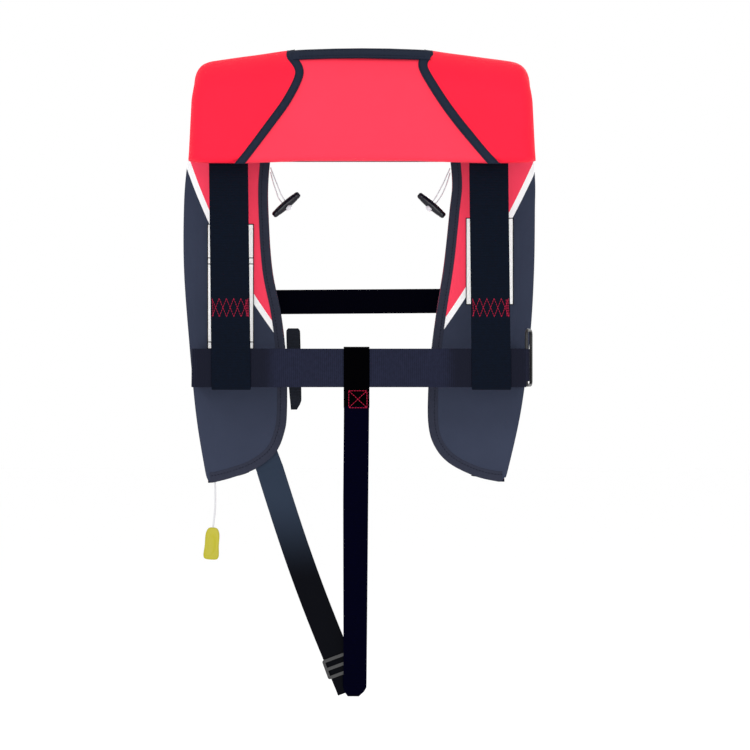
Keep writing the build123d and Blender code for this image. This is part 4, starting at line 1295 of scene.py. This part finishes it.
def add_tether():
    """The soft loop that stands on the front belt, leaning a little, its bottom cut at an angle."""
    low, high = corners("tether_loop")
    x, y = (low[0] + high[0]) / 2, (low[1] + high[1]) / 2
    width, out = high[0] - low[0], (high[1] - low[1]) / 2 - 0.8
    side = [(y - out, z) for z in np.linspace(-449, high[2] - 4, 26)]
    bend = [(y - out * cos(a), high[2] - 4 + 3.2 * sin(a)) for a in np.linspace(0.2, pi - 0.2, 9)]
    down = [(2 * y - py, pz) for py, pz in reversed(side)]
    foot = [(y - 0.9, low[2]), (y - 0.9, -458), (y - 2.2, -453)]
    path = foot + side + bend + down + [(2 * y - py, pz) for py, pz in reversed(foot)]
    points, widths = [], []
    for py, z in path:
        taper = min(1, max(0, (-405 - z) / 60)) * 3.4
        cut = max(0, (-455 - z) / 10) * 6
        shoulder = max(0, (z - high[2] + 5) / 5) ** 2 * 3.2
        widths.append((-width / 2 + taper + shoulder, width / 2 - cut - shoulder - taper * 0.2))
        points.append((x - 2.6 * min(1, max(0, (z + 465) / 105)), py, z))
    piece = ribbon("tether_webbing", points, (1, 0, 0), width, 1.6, [TETHER], 0.2, widths)
    settle(piece, "tether", "navy_webbing", "tether_loop")


def add_crotch_strap():
    """Loop on the belt, back leg, fold at the bottom and front leg."""
    low_z = corners("crotch_strap")[0][2]
    x, width = -4.0, 32.0
    back = [(-38.3, -460), (-38.3, -390), (-38.6, BELT_HIGH + 1.0), (-40.0, BELT_HIGH + 2.0)]
    back += [(-41.4, BELT_HIGH + 1.0), (-41.7, -392), (-41.7, -461)]
    loop = smooth_path([(x, y, z) for y, z in back], 4.0, 1)
    settle(ribbon("crotch_loop", loop, (1, 0, 0), width + 0.8, 1.4, [LOOP], 0.1), "root", "black_webbing")
    foot = low_z - 1.0
    leg = [(x, -41.7 + 45.2 * t, -461 + (foot + 461) * t) for t in np.linspace(-0.005, 1, 70)]
    fold = [(x, 3.5 + 2.8 + 2.8 * cos(a), foot + 0.2 - 0.6 * sin(a)) for a in np.linspace(pi - 0.3, 0.3, 6)]
    rise = [(x - 1.0, 9.0, foot + 0.2 + h) for h in (4, 10, 18, 26)]
    path = leg + fold + rise
    widths = []
    for _, y, z in path:
        edge = max(0.0, 1 - (z - low_z) / 11)
        down = min(1.0, (-455 - z) / 375)
        left = -width / 2 - 1.3 * min(1.0, 3 * down)
        widths.append((left + 4.0 * edge**2.5, width / 2 - 3.6 * down - 8.0 * edge**1.7))
    piece = ribbon("crotch_back_leg", path, (1, 0, 0), width, 1.4, [CROTCH], 0.35, widths)
    settle(piece, "root", "black_webbing", "crotch_strap")
    start, end = Vector((-14, 9, -823)), Vector((-119, 42, -542))
    up = (end - start).normalized()
    across = Vector((0, 1, 0)).cross(up).normalized()
    points = []
    for t in np.linspace(-0.02, 1, 70):
        bow = -4.5 * sin(pi * min(1, max(0, t)))
        points.append(tuple(start + (end - start) * t + across * bow))
    settle(ribbon("crotch_front_leg", points, tuple(across), 35.5, 1.4, [LEG], 0.5), "root", "black_webbing")
    root_top = corners("crotch_strap_root")[1][2]
    lean = (end.x - start.x) / (end.z - start.z)
    top = [(end.x + lean * (z - end.z), 42.1, z) for z in np.linspace(-543, root_top, 30)]
    piece = ribbon("crotch_root", top, tuple(across), 35.0, 1.4, [LEG], 0.1)
    settle(piece, "root", "black_webbing", "crotch_strap_root")
    y, rows = -42.6, []
    left, right, bottom, top = -13.8, 9.2, -461.0, -439.5
    square = [(left, bottom), (right, bottom), (right, top), (left, top), (left, bottom)]
    rows += [[(ax, y, az), (bx, y, bz)] for (ax, az), (bx, bz) in zip(square, square[1:])]
    rows += [[(left, y, bottom), (right, y, top)], [(left, y, top), (right, y, bottom)]]
    settle(dashes("crotch_stitches", rows, 0.36, [THREAD_RED], 2.8, 0.6), "root", "black_webbing")


# Hard parts that keep their CAD shape


def finish_cad():
    """The hard parts take their materials, and most take softened edges."""
    bevels = {
        "buckle_socket": (BLACK, 0.5), "buckle_tongue": (BLACK, 0.5), "buckle_prong_upper": (BLACK, 0.4),
        "buckle_prong_lower": (BLACK, 0.4), "side_ring": (WIRE, 0), "crotch_slider": (BLACK, 0.5),
        "gas_cylinder": (STEEL, 0.3), "inflator_body": (BLACK, 0.6), "inflator_lever": (RED_PLASTIC, 0.3),
        "bladder_manifold": (BRASS, 0.3), "manifold_nut": (BRASS, 0.3), "oral_tube": (BLACK, 0.4),
        "oral_valve": (RED_PLASTIC, 0.3), "oral_cap": (BLACK, 0.5), "whistle": (ORANGE, 0.4),
        "whistle_tape": (CHEST, 0), "loop_tape_left": (TAPE, 0), "loop_tape_right": (TAPE, 0),
        "hook_tape_left": (TAPE, 0), "hook_tape_right": (TAPE, 0),
    }
    for node, (material, width) in bevels.items():
        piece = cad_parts[node]
        piece.data.materials.clear()
        piece.data.materials.append(material)
        if width:
            bevel = piece.modifiers.new("edges", "BEVEL")
            bevel.width, bevel.segments, bevel.limit_method = width * MM, 2, "ANGLE"
            bevel.angle_limit = radians(35)
            bevel.harden_normals = False


def main():
    scene.view_settings.view_transform = "Standard"
    add_camera()
    add_cords()
    add_room()
    for name in SIDES:
        add_shoulder(name)
        add_flap_binding(name)
        add_lining(name)
        add_lobe_binding(name)
        add_lid(name)
        add_label(name)
        add_back_strap(name)
        add_front_belt(name)
    add_centre_panel()
    add_neck_binding()
    add_bladder()
    add_yoke_lining()
    add_belts()
    add_chest_strap()
    add_tether()
    add_crotch_strap()
    finish_cad()


main()
